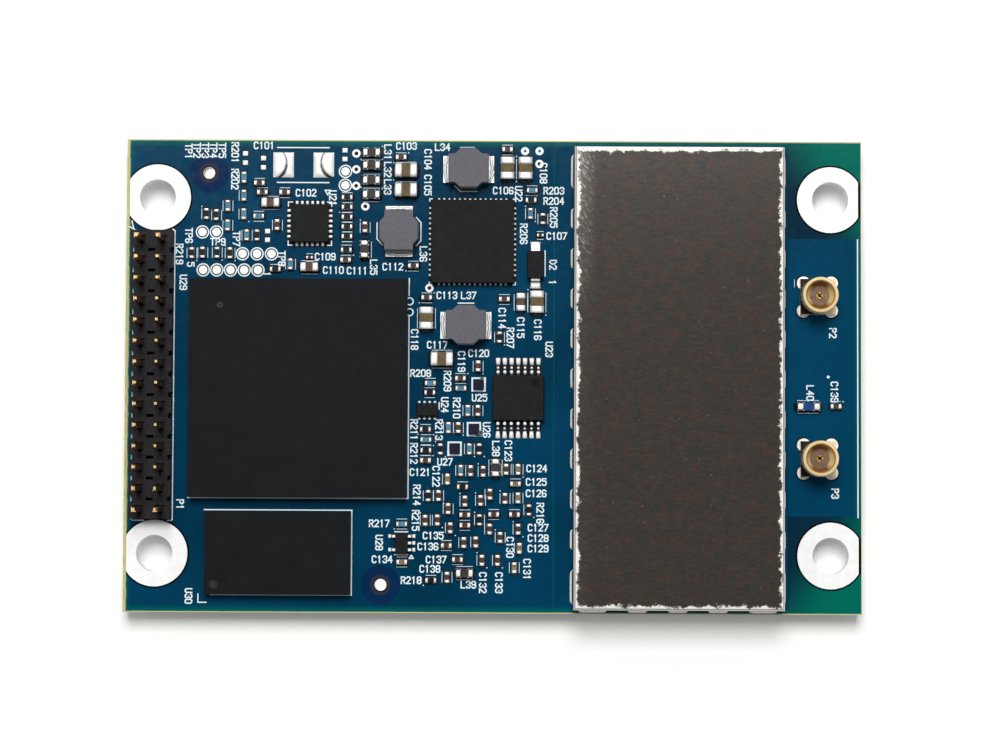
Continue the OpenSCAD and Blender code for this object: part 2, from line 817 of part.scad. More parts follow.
module wall_fillets(wall, span) {
    for (index = [0:foot_count(span) - 1])
        foot_fillet(wall, (index - (foot_count(span) - 1) / 2) * foot_pitch - foot_length / 2, foot_length);
    for (start = [corner_foot_start(span), shield_bend - span / 2])
        foot_fillet(wall, start, span / 2 - shield_bend - corner_foot_start(span));
}

module shield_solder()
    color("#e6e6e2")
        in_can([0, 0]) {
            mirrored_pair()
                wall_fillets(shield_width / 2, shield_length);
            for (turn = [90, 270])
                rotate(turn)
                    wall_fillets(shield_length / 2, shield_width);
        }

// Ball grid chips

processor_dimple_place = [-7.52, 7.95];
processor_dimple_dia = 0.7;

module processor_mould()
    color("#1e1f23")
        in_field(processor_place)
            difference() {
                chip_mould(processor_side, processor_side, processor_height);
                round_dimple(processor_dimple_place, processor_dimple_dia, processor_height);
            }

module processor_substrate()
    color("#1d3a2c")
        in_field(processor_place)
            chip_substrate(processor_side, processor_side);

module processor_balls()
    color("#c0c0c0")
        in_field(processor_place)
            ball_frame(processor_side);

memory_dimple_place = [-6.1, -3.03];
memory_dimple_dia = 0.85;

module memory_mould()
    color("#202022")
        in_field(memory_place)
            difference() {
                chip_mould(memory_length, memory_width, memory_height);
                round_dimple(memory_dimple_place, memory_dimple_dia, memory_height);
            }

module memory_substrate()
    color("#1d3a2c")
        in_field(memory_place)
            chip_substrate(memory_length, memory_width);

// Two blocks of balls with a free lane between them
module memory_balls() {
    last = even_balls(memory_length) - 1;
    color("#c0c0c0")
        in_field(memory_place)
            for (side = [-1, 1], row = [0:last], column = [0:memory_ball_columns - 1])
                translate([(row - last / 2) * ball_pitch,
                    side * (memory_ball_reach - column * ball_pitch), 0])
                    ball();
}

// Leadless chips

module power_chip_mould()
    color("#2b2b2b")
        in_field(power_chip_place)
            leadless_mould(power_chip_side);

module power_chip_pads()
    color("#d9d9d6")
        in_field(power_chip_place)
            leadless_pads(power_chip_pads_side, power_chip_side, power_pad_reach);

module interface_chip_mould()
    color("#262628")
        in_field(interface_chip_place)
            leadless_mould(interface_chip_side);

module interface_chip_pads()
    color("#d9d9d6")
        in_field(interface_chip_place)
            leadless_pads(interface_chip_pads_side, interface_chip_side, interface_pad_reach);

module switch_chips()
    color("#2a2733")
        for (place = switch_places)
            in_field(place)
                centred_block([switch_side, switch_side, switch_height]);

// Leaded chips

// Each kind of lead: pitch, width, shoulder, drop and foot
driver_lead = [0.65, 0.24, 0.25, 0.2, 0.5];
driver_leads_side = 7;
driver_dimple_place = [1.67, 1.45];
driver_dimple_dia = 0.9;

module driver_chip_mould()
    color("#242426")
        in_field(driver_place)
            difference() {
                translate([0, 0, mould_stand_off])
                    moulded_block(driver_length, driver_width, driver_height);
                round_dimple(driver_dimple_place, driver_dimple_dia, mould_stand_off + driver_height);
            }

// The same row of leads along two opposite sides
module lead_sides(count, lead, width, exit_height)
    mirrored_pair()
        for (index = [0:count - 1])
            translate([width / 2, (index - (count - 1) / 2) * lead[0], 0])
                gull_lead(lead[1], exit_height, lead[2], lead[3], lead[4]);

module driver_chip_leads()
    color("#d9d9d6")
        in_field(driver_place, 90)
            lead_sides(driver_leads_side, driver_lead, driver_width, mould_stand_off + driver_height / 2);

regulator_lead = [0.65, 0.25, 0.2, 0.15, 0.3];

module regulator_mould()
    color("#232325")
        in_field(regulator_place)
            translate([0, 0, mould_stand_off])
                moulded_block(regulator_size[0], regulator_size[1], regulator_size[2]);

// Three leads on the right, two on the left
module regulator_leads()
    color("#d9d9d6")
        in_field(regulator_place) {
            for (row = [-1, 0, 1])
                translate([regulator_size[0] / 2, row * regulator_lead[0], 0])
                    gull_lead(regulator_lead[1], mould_stand_off + regulator_size[2] / 2, regulator_lead[2],
                        regulator_lead[3], regulator_lead[4]);
            for (row = [-1, 1])
                rotate(180)
                    translate([regulator_size[0] / 2, row * regulator_lead[0], 0])
                        gull_lead(regulator_lead[1], mould_stand_off + regulator_size[2] / 2,
                            regulator_lead[2], regulator_lead[3], regulator_lead[4]);
        }

buffer_lead = [0.5, 0.2, 0.08, 0.1, 0.2];
buffer_leads_side = 4;

module buffer_chip_mould()
    color("#232325")
        in_field(buffer_place)
            translate([0, 0, mould_stand_off])
                moulded_block(buffer_size[0], buffer_size[1], buffer_size[2]);

module buffer_chip_leads()
    color("#d9d9d6")
        in_field(buffer_place, 90)
            lead_sides(buffer_leads_side, buffer_lead, buffer_size[1], mould_stand_off + buffer_size[2] / 2);

diode_lead = [0, 0.85, 0.12, 0.12, 0.4];

module diode_mould()
    color("#242424")
        in_field(diode_place)
            translate([0, 0, mould_stand_off])
                moulded_block(diode_size[0], diode_size[1], diode_size[2]);

module diode_leads()
    color("#d9d9d6")
        in_field(diode_place, 90)
            lead_sides(1, diode_lead, diode_size[1], mould_stand_off + diode_size[2] / 2);

// Power inductors

// Core seen from above: a bulge with slanted shoulders between two necks that carry the terminals
module core_outline() {
    square([core_length, core_end_width], center = true);
    polygon([[core_shoulder, core_end_width / 2], [core_bulge_flat / 2, core_width / 2],
        [-core_bulge_flat / 2, core_width / 2], [-core_shoulder, core_end_width / 2],
        [-core_shoulder, -core_end_width / 2], [-core_bulge_flat / 2, -core_width / 2],
        [core_bulge_flat / 2, -core_width / 2], [core_shoulder, -core_end_width / 2]]);
}

// Side view with the two top edges bevelled
module bevelled_section(span, height)
    polygon([[-span / 2, 0], [span / 2, 0], [span / 2, height - core_bevel], [span / 2 - core_bevel, height],
        [-span / 2 + core_bevel, height], [-span / 2, height - core_bevel]]);

module inductor_cores()
    color("#6e6c76")
        each_in_field(inductor_places)
            intersection() {
                linear_extrude(core_height)
                    core_outline();
                rotate([90, 0, 0])
                    linear_extrude(core_width, center = true)
                        bevelled_section(core_length, core_height);
                rotate([90, 0, 90])
                    linear_extrude(core_length, center = true)
                        bevelled_section(core_width, core_height);
            }

module inductor_terminals()
    color("#e0e0dc")
        each_in_field(inductor_places)
            mirrored_pair()
                translate([core_length / 2 + terminal_reach / 2, 0, 0])
                    centred_block([terminal_reach, core_end_width - 2 * terminal_inset, terminal_height]);

// Chip parts

module large_capacitor_bodies()
    color("#85744f")
        each_in_field(large_capacitors)
            chip_body(large_chip);

module large_capacitor_ends()
    color("#dcdcd8")
        each_in_field(large_capacitors)
            chip_ends(large_chip);

module medium_capacitor_bodies()
    color("#5d4a3c")
        each_in_field(medium_capacitors)
            chip_body(medium_chip);

module medium_capacitor_ends()
    color("#dcdcd8")
        each_in_field(medium_capacitors)
            chip_ends(medium_chip);

// Places of the small parts that share one size, in the field, under the can and under the board
module each_small_capacitor() {
    each_in_field(small_capacitors)
        children();
    between_jacks(strip_capacitor_shift)
        children();
    for (place = covered_capacitors)
        in_can(place, place[2])
            children();
    for (place = under_capacitors)
        translate([field_x + processor_place[0] + place[0], processor_place[1] + place[1], board_bottom])
            rotate([180, 0, place[2]])
                children();
}

module small_capacitor_bodies()
    color("#6b4a38") {
        each_small_capacitor()
            chip_body(small_chip);
        each_in_field(tiny_capacitors)
            chip_body(tiny_chip);
    }

module small_capacitor_ends()
    color("#dcdcd8") {
        each_small_capacitor()
            chip_ends(small_chip);
        each_in_field(tiny_capacitors)
            chip_ends(tiny_chip);
    }

module tan_capacitor_bodies()
    color("#85744f")
        each_in_field(tan_capacitors)
            chip_body(small_chip);

module tan_capacitor_ends()
    color("#dcdcd8")
        each_in_field(tan_capacitors)
            chip_ends(small_chip);

module resistor_bodies()
    color("#e4e2da")
        each_in_field(concat(black_resistors, blue_resistors))
            resistor_body();

module resistor_coats_black()
    color("#1c1b1d")
        each_in_field(black_resistors)
            resistor_coat();

module resistor_coats_blue()
    color("#5e93ab")
        each_in_field(blue_resistors)
            resistor_coat();

module resistor_ends()
    color("#dcdcd8")
        each_in_field(concat(black_resistors, blue_resistors))
            chip_ends(resistor_chip, resistor_cap_share);

module bead_bodies()
    color("#39373a")
        each_in_field(beads)
            chip_body(medium_chip);

module bead_ends()
    color("#dcdcd8")
        each_in_field(beads)
            chip_ends(medium_chip);

module feed_inductor_body()
    color("#0d2d5c")
        between_jacks(feed_inductor_shift)
            chip_body(feed_chip);

module feed_inductor_ends()
    color("#7fb2d0")
        between_jacks(feed_inductor_shift)
            chip_ends(feed_chip);

// Under the shield can

module receiver_chip_mould()
    color("#222224")
        in_can(receiver_place)
            chip_mould(receiver_side, receiver_side, receiver_height);

module receiver_chip_substrate()
    color("#1d3a2c")
        in_can(receiver_place)
            chip_substrate(receiver_side, receiver_side);

module receiver_chip_balls()
    color("#c0c0c0")
        in_can(receiver_place)
            ball_frame(receiver_side);

module tuner_chip_moulds()
    color("#262628")
        for (place = tuner_places)
            in_can(place)
                leadless_mould(tuner_side);

module tuner_chip_pads()
    color("#d9d9d6")
        for (place = tuner_places)
            in_can(place)
                leadless_pads(tuner_pads_side, tuner_side, power_pad_reach);

module wave_filters()
    color("#cfc8b8")
        for (place = filter_places)
            in_can(place)
                centred_block(filter_size);

module oscillator_base()
    color("#5a544c")
        in_can(oscillator_place)
            centred_block(oscillator_base_size);

module oscillator_lid()
    color("#c9c4b4")
        in_can(oscillator_place)
            translate([0, 0, oscillator_base_size[2]])
                centred_block([oscillator_base_size[0] - 2 * oscillator_lid_margin,
                    oscillator_base_size[1] - 2 * oscillator_lid_margin, oscillator_lid_height]);

circuit_board();
mount_rings();
test_pads();
solder_pads();
header_housing();
header_pins();
header_solder();
jack_shells();
jack_insulators();
jack_contacts();
jack_solder();
shield_can();
shield_solder();
processor_mould();
processor_substrate();
processor_balls();
memory_mould();
memory_substrate();
memory_balls();
power_chip_mould();
power_chip_pads();
interface_chip_mould();
interface_chip_pads();
driver_chip_mould();
driver_chip_leads();
regulator_mould();
regulator_leads();
buffer_chip_mould();
buffer_chip_leads();
switch_chips();
inductor_cores();
inductor_terminals();
diode_mould();
diode_leads();
large_capacitor_bodies();
large_capacitor_ends();
medium_capacitor_bodies();
medium_capacitor_ends();
small_capacitor_bodies();
small_capacitor_ends();
tan_capacitor_bodies();
tan_capacitor_ends();
resistor_bodies();
resistor_coats_black();
resistor_coats_blue();
resistor_ends();
bead_bodies();
bead_ends();
feed_inductor_body();
feed_inductor_ends();
receiver_chip_mould();
receiver_chip_substrate();
receiver_chip_balls();
tuner_chip_moulds();
tuner_chip_pads();
wave_filters();
oscillator_base();
oscillator_lid();
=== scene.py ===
import math
from functools import partial
import bmesh
import bpy
import numpy as np
from mathutils import Matrix, Vector


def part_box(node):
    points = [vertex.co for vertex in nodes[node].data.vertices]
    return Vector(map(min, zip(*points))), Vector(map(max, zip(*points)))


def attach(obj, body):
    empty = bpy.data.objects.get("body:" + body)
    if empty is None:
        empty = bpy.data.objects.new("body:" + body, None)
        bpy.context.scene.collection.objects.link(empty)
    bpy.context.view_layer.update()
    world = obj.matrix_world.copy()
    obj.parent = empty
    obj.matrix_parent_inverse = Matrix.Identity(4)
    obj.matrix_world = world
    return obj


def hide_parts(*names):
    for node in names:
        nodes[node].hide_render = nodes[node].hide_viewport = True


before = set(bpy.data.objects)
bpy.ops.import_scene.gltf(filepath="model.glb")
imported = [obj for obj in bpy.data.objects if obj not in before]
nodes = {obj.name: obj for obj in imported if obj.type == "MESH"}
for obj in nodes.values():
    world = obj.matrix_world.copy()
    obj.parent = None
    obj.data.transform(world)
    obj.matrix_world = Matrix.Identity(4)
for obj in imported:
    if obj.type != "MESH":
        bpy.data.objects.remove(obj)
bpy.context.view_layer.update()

mm = 0.001
draw = np.random.default_rng(11)  # the same scatter on every run


def boxOf(node):
    # lowest and highest corner in mm
    return [np.array(corner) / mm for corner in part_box(node)]


boardLow, boardHigh = boxOf("circuit_board")
boardTop = boardHigh[2]
footLevel = boardTop - 0.005  # flat pieces begin just inside the board
canLow, canHigh = boxOf("shield_can")


# shared tools
def toLinear(hexColour):
    # the sRGB curve undone for each channel
    channels = np.array([int(hexColour[i:i + 2], 16) for i in (1, 3, 5)]) / 255
    linear = np.where(channels <= 0.04045, channels / 12.92, ((channels + 0.055) / 1.055) ** 2.4)
    return (*linear.tolist(), 1.0)


def addNode(tree, kind, settings=None, links=None, out=0):
    # settings go to the socket of that name or number, else to the property of that name; stops fill a
    # colour ramp, span is from low, from high, to low and to high; gives one output socket
    node = tree.nodes.new("ShaderNode" + kind)
    for key, value in (settings or {}).items():
        if key == "stops":
            elements = node.color_ramp.elements
            for i, (position, hexColour) in enumerate(value):
                element = elements[i] if i < len(elements) else elements.new(position)
                element.position = position
                element.color = toLinear(hexColour)
        elif key == "span":
            for socket, end in zip(("From Min", "From Max", "To Min", "To Max"), value):
                node.inputs[socket].default_value = end
        elif isinstance(key, int) or key in node.inputs:
            node.inputs[key].default_value = value
        else:
            setattr(node, key, value)
    for key, source in (links or {}).items():
        tree.links.new(source, node.inputs[key])
    return node.outputs[out] if len(node.outputs) else None


def emptyTree(owner):
    # the node tree of a material or world with nothing in it, and the function that adds to it
    owner.use_nodes = True
    owner.node_tree.nodes.clear()
    return owner.node_tree, partial(addNode, owner.node_tree)


def upwardOf(add):
    # how far a face looks up, 1 on level tops
    return add("SeparateXYZ", links={0: add("TexCoord", out="Normal")}, out=2)


def inMillimetres(add, place):
    # the place in mm, its three axes, and the place as seen from above
    scaled = add("VectorMath", {"operation": "SCALE", "Scale": 1 / mm}, {0: place})
    axes = add("SeparateXYZ", links={0: scaled}).node.outputs
    return scaled, axes, add("CombineXYZ", links={0: axes[0], 1: axes[1]})


def toNearest(add, place, spots):
    # distance from the nearer of two spots
    reaches = [add("VectorMath", {"operation": "DISTANCE", 1: (*spot, 0.0)}, {0: place}, "Value")
               for spot in spots]
    return add("Math", {"operation": "MINIMUM"}, {0: reaches[0], 1: reaches[1]})


def layOver(add, colour, layers):
    # each layer covers its share of what lies below it
    for share, hexColour in layers:
        colour = add("Mix", {"data_type": "RGBA", 7: toLinear(hexColour)}, {0: share, 6: colour}, 2)
    return colour


def finish(name, spec):
    # colour drifts from patch to patch, roughness and relief follow a finer grain, sizes in mm
    material = bpy.data.materials.new(name)
    tree, add = emptyTree(material)
    place = add("TexCoord", out="Object")
    patch = add("TexNoise", {"Scale": 1 / (spec["patch"] * mm), "Detail": 3.0}, {"Vector": place})
    colour = add("ValToRGB", {"stops": list(zip((0.3, 0.5, 0.7), spec["colours"]))}, {0: patch})
    grain = add("TexNoise", {"Scale": 1 / (spec["grain"] * mm), "Detail": 2.0}, {"Vector": place})
    rough = add("MapRange", {"span": (0.3, 0.7, *spec["rough"])}, {0: grain})
    relief = add("Bump", {"Strength": 0.6, "Distance": spec["relief"] * mm}, {"Height": grain})
    shader = add("BsdfPrincipled", {"Metallic": spec["metallic"]},
                 {"Base Color": colour, "Roughness": rough, "Normal": relief}).node
    for key, socket in (("ior", "IOR"), ("gloss", "Specular IOR Level")):
        if key in spec:
            shader.inputs[socket].default_value = spec[key]
    if "flankShade" in spec:
        # painted shade: steep faces take the darker flank colour
        steep = add("MapRange", {"span": (0.85, 0.6, 0.0, 0.8)}, {0: upwardOf(add)})
        flankShade = layOver(add, colour, ((steep, spec["flankShade"]),))
        tree.links.new(flankShade, shader.inputs["Base Color"])
    if "flankShadeByHeight" in spec:
        # painted shade: the flank's colour changes with the height, from the first level to the second, and it
        # mirrors fully
        height = add("SeparateXYZ", links={0: place}, out=2)
        depth = add("MapRange", {"span": [level * mm for level in spec["levels"]]}, {0: height})
        flankShadeByHeight = add("ValToRGB", {"stops": spec["flankShadeByHeight"]}, {0: depth})
        tree.links.new(flankShadeByHeight, flankShade.node.inputs[7])
        mirror = add("MapRange", {"span": (0.0, 0.8, spec["metallic"])}, {0: steep})
        tree.links.new(mirror, shader.inputs["Metallic"])
    add("OutputMaterial", links={"Surface": shader.outputs["BSDF"]})
    return {"material": material, "tree": tree, "add": add, "inputs": shader.inputs, "place": place,
            "colour": colour}


def paint(material, *names):
    # the finish goes into every slot of these nodes
    for name in names:
        for slot in nodes[name].material_slots:
            slot.material = material


def solidBoxes(node):
    # lowest and highest corner of each solid in a node, found by spreading the lowest
    # point number along the triangles until nothing changes
    mesh = nodes[node].data
    points = np.empty(len(mesh.vertices) * 3, np.float32)
    mesh.vertices.foreach_get("co", points)
    points = points.reshape(-1, 3).astype(float) / mm
    mesh.calc_loop_triangles()
    corners = np.empty(len(mesh.loop_triangles) * 3, np.int32)
    mesh.loop_triangles.foreach_get("vertices", corners)
    welded = np.unique(np.round(points * 1000).astype(np.int64), axis=0, return_inverse=True)[1].ravel()
    triangles = welded[corners.reshape(-1, 3)]
    label = np.arange(welded.max() + 1)
    while True:
        spread = label.copy()
        np.minimum.at(spread, triangles.ravel(), np.repeat(label[triangles].min(1), 3))
        spread = spread[spread]
        if (spread == label).all():
            break
        label = spread
    group = np.unique(label[welded], return_inverse=True)[1].ravel()
    low = np.full((group.max() + 1, 3), np.inf)
    high = np.full((group.max() + 1, 3), -np.inf)
    np.minimum.at(low, group, points)
    np.maximum.at(high, group, points)
    return low, high


def slabPiece(name, top, bottom, material, slot, wrap=False, smooth=False, shine=None):
    # closed slabs: top and bottom are grids of points (slab, row, column, xyz) in mm with walls
    # between their rims, wrap joins the last row to the first, and shine is a painted highlight value for each top
    # point
    count, rows, columns = top.shape[:3]
    points = np.concatenate([top.reshape(count, -1, 3), bottom.reshape(count, -1, 3)], 1)
    upper = np.arange(rows * columns).reshape(rows, columns)
    upper = np.vstack([upper, upper[:1]]) if wrap else upper
    lower = upper + rows * columns
    grid = [np.stack([g[:-1, :-1], g[1:, :-1], g[1:, 1:], g[:-1, 1:]], -1).reshape(-1, 4)
            for g in (upper, lower)]
    rims = [(upper[:, 0], lower[:, 0]), (upper[:, -1], lower[:, -1])]
    rims += [] if wrap else [(upper[0], lower[0]), (upper[-1], lower[-1])]
    walls = [np.stack([a[:-1], a[1:], b[1:], b[:-1]], -1) for a, b in rims]
    faces = np.vstack(grid + walls)
    faces = (faces[None] + np.arange(count)[:, None, None] * points.shape[1]).reshape(-1, 4)
    mesh = bpy.data.meshes.new(name)
    mesh.from_pydata((points.reshape(-1, 3) * mm).tolist(), [], faces.tolist())
    shape = bmesh.new()
    shape.from_mesh(mesh)
    bmesh.ops.recalc_face_normals(shape, faces=shape.faces)
    shape.to_mesh(mesh)
    shape.free()
    mesh.polygons.foreach_set("use_smooth", np.full(len(mesh.polygons), smooth))
    if shine is not None:
        values = np.concatenate([shine.reshape(count, -1), np.zeros((count, rows * columns))], 1)
        attribute = mesh.attributes.new("shine", "FLOAT", "POINT")
        attribute.data.foreach_set("value", values.ravel().astype(np.float32))
    mesh.materials.append(material)
    piece = bpy.data.objects.new(name, mesh)
    bpy.context.scene.collection.objects.link(piece)
    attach(piece, "root")
    return piece


def strokeSlabs(ends, widths, low, high, layer, layers=5):
    # each stroke is a bar from its first to its second point, half a width longer at both ends
    start, stop = ends[:, 0], ends[:, 1]
    span = stop - start
    length = np.linalg.norm(span, axis=1, keepdims=True)
    along = np.where(length > 1e-6, span / np.maximum(length, 1e-6), np.array([1.0, 0.0]))
    across = np.stack([-along[:, 1], along[:, 0]], 1)
    half = (np.asarray(widths) / 2)[:, None]
    plan = np.stack([np.stack([end - across * half, end + across * half], 1)
                     for end in (start - along * half, stop + along * half)], 1)
    # neighbours differ a little in height, so that crossing bars don't share a face
    top = high + layer * (np.arange(len(plan)) % layers)
    heights = [np.broadcast_to(z, plan.shape[:3])[..., None] for z in (top[:, None, None], np.float64(low))]
    return [np.concatenate([plan, z], -1) for z in heights]


def ringSlabs(centres, inner, outer, low, high, corners=28):
    # angle runs round each ring and closes, radius goes from the inner to the outer edge
    angle = np.linspace(0, 2 * math.pi, corners, endpoint=False)
    spoke = np.stack([np.cos(angle), np.sin(angle)], -1)
    radius = np.stack([np.asarray(inner), np.asarray(outer)], -1)
    plan = centres[:, None, None, :] + spoke[None, :, None, :] * radius[:, None, :, None]
    return [np.concatenate([plan, np.full(plan.shape[:3] + (1,), z)], -1) for z in (high, low)]


def blobSlabs(centres, along, length, width, level, shape):
    # drops with u and v from -1 to 1 on a square bent towards a disc, x = u sqrt(1 - r v2 / 2) and
    # y = v sqrt(1 - r u2 / 2), wider along u by the flare, with a crown of (1 - u2)(1 - v2) and a painted dark rim
    # round a painted highlight
    u = np.linspace(-1, 1, 5)[None, :, None]
    v = np.linspace(-1, 1, 5)[None, None, :]
    length, width, level = (np.broadcast_to(value, len(centres))[:, None, None]
                            for value in (length, width, level))
    across = np.stack([-along[:, 1], along[:, 0]], 1)
    run = length / 2 * u * np.sqrt(1 - shape["round"] * v ** 2 / 2)
    sideways = width / 2 * v * np.sqrt(1 - shape["round"] * u ** 2 / 2) * (1 + shape["flare"] * u)
    plan = (centres[:, None, None, :] + along[:, None, None, :] * run[..., None]
            + across[:, None, None, :] * sideways[..., None])
    crown = level + shape["rise"] * (1 - u ** 2) * (1 - v ** 2)
    foot = level - shape["depth"] + 0 * crown
    paintedGlint = 1 - shape["rim"] * np.maximum(np.abs(u), np.abs(v)) ** 6 + 0 * crown
    return [np.concatenate([plan, z[..., None]], -1) for z in (crown, foot)] + [paintedGlint]


def chipParts(bodies, ends):
    # a chip part is a body and the two end caps nearest to it; those on top of the board and
    # outside the can are kept
    bodyLow, bodyHigh = solidBoxes(bodies)
    endLow, endHigh = solidBoxes(ends)
    bodyMiddle, endMiddle = (bodyLow + bodyHigh) / 2, (endLow + endHigh) / 2
    pair = np.argsort(np.linalg.norm(bodyMiddle[:, None] - endMiddle[None], axis=2), 1)[:, :2]
    low, high = endLow[pair].min(1), endHigh[pair].max(1)
    step = np.abs(endMiddle[pair[:, 1]] - endMiddle[pair[:, 0]])[:, :2]
    middle = (low + high) / 2
    covered = np.all((middle[:, :2] > canLow[:2]) & (middle[:, :2] < canHigh[:2]), 1)
    kept = (low[:, 2] > boardTop - 0.05) & ~covered
    level = (step[:, 0] > step[:, 1])[kept]
    low, high = low[kept], high[kept]
    cap = (endHigh - endLow)[pair[:, 0]][kept]
    size = high - low
    return {"middle": (low + high)[:, :2] / 2, "along": np.where(level[:, None], [1.0, 0.0], [0.0, 1.0]),
            "length": np.where(level, size[:, 0], size[:, 1]), "width": np.where(level, size[:, 1], size[:, 0]),
            "height": size[:, 2], "low": low, "high": high, "cap": np.where(level, cap[:, 0], cap[:, 1])}


# finishes
tinSpec = {"colours": ("#f6f6f4", "#fbfbf9", "#ffffff"), "patch": 0.6, "grain": 0.08, "rough": (0.4, 0.55),
           "relief": 0.003, "metallic": 0.1}
solderSpec = {"colours": ("#f0f0ee", "#f8f8f6", "#ffffff"), "patch": 0.35, "grain": 0.3, "rough": (0.25, 0.4),
              "relief": 0.004, "metallic": 0.2}
paintedReflectionSpec = dict(solderSpec, colours=("#3b3a38", "#4a4946", "#5e5c58"), rough=(0.18, 0.3), metallic=0.8)
leadSpec = {"colours": ("#f1f1ee", "#f9f9f6", "#ffffff"), "patch": 0.25, "grain": 0.12, "rough": (0.3, 0.45),
            "relief": 0.008, "metallic": 0.25, "flankShade": "#3a3937"}
goldSpec = {"colours": ("#ffdd8c", "#ffe6a2", "#fff0c0"), "patch": 0.7, "grain": 0.06, "rough": (0.15, 0.25),
            "relief": 0.001, "metallic": 0.5, "flankShade": "#b88430"}
pinSpec = dict(goldSpec, levels=(boxOf("header_pins")[1][2], boxOf("header_housing")[1][2]),
               flankShadeByHeight=((0.0, "#ffcf58"), (0.07, "#f0a432"), (0.15, "#b8661a"), (0.3, "#b0742c"), (1.0, "#b98a45")))
contactSpec = dict(goldSpec, colours=("#e2a94e", "#efbb66", "#f9d084"), flankShade="#6a3d12")
nylonSpec = {"colours": ("#141215", "#1b191d", "#242027"), "patch": 0.5, "grain": 0.1, "rough": (0.45, 0.6),
             "relief": 0.01, "metallic": 0.0, "ior": 1.53, "gloss": 0.15}
insulatorSpec = {"colours": ("#70563f", "#7e6249", "#8b6e53"), "patch": 0.5, "grain": 0.1, "rough": (0.35, 0.5),
                 "relief": 0.003, "metallic": 0.0, "ior": 1.38}
mouldSpec = {"colours": ("#0b0d10", "#0e1013", "#111317"), "patch": 1.6, "grain": 0.09, "rough": (0.5, 0.65),
             "relief": 0.006, "metallic": 0.0, "ior": 1.55, "gloss": 0.1}
greyMouldSpec = dict(mouldSpec, colours=("#141515", "#181919", "#1d1d1d"), patch=0.8)
dieSpec = dict(mouldSpec, colours=("#101022", "#181830", "#26263e"), patch=0.25)
carrierSpec = {"colours": ("#183025", "#1d3a2c", "#234434"), "patch": 0.5, "grain": 0.1, "rough": (0.5, 0.6),
               "relief": 0.003, "metallic": 0.0, "ior": 1.5}
ferriteSpec = {"colours": ("#55545b", "#5a5960", "#606067"), "patch": 0.18, "grain": 0.06, "rough": (0.4, 0.6),
               "relief": 0.006, "metallic": 0.0, "ior": 1.6, "gloss": 0.25}
beadFerriteSpec = dict(ferriteSpec, colours=("#221e1c", "#2a2523", "#35302c"))
tanSpec = {"colours": ("#75653f", "#85744f", "#93825c"), "patch": 0.4, "grain": 0.08, "rough": (0.4, 0.55),
           "relief": 0.004, "metallic": 0.0, "ior": 1.6, "gloss": 0.2}
brownSpec = dict(tanSpec, colours=("#3b2415", "#4b2f1d", "#5a3a25"))
oliveSpec = dict(tanSpec, colours=("#544521", "#604f28", "#6d5b32"))
greyBrownSpec = dict(tanSpec, colours=("#493325", "#583e2d", "#674b38"))
whiteSpec = dict(tanSpec, colours=("#dcdad2", "#e4e2da", "#ecebe4"))
coatSpec = {"colours": ("#0a090b", "#0e0d10", "#131215"), "patch": 0.3, "grain": 0.2, "rough": (0.3, 0.45),
            "relief": 0.004, "metallic": 0.0, "ior": 1.52, "gloss": 0.15}
blueCoatSpec = dict(coatSpec, colours=("#42748b", "#50839a", "#5f92a8"))
glazeSpec = dict(coatSpec, colours=("#0d3a75", "#123f7d", "#1b4f92"))
made = {}
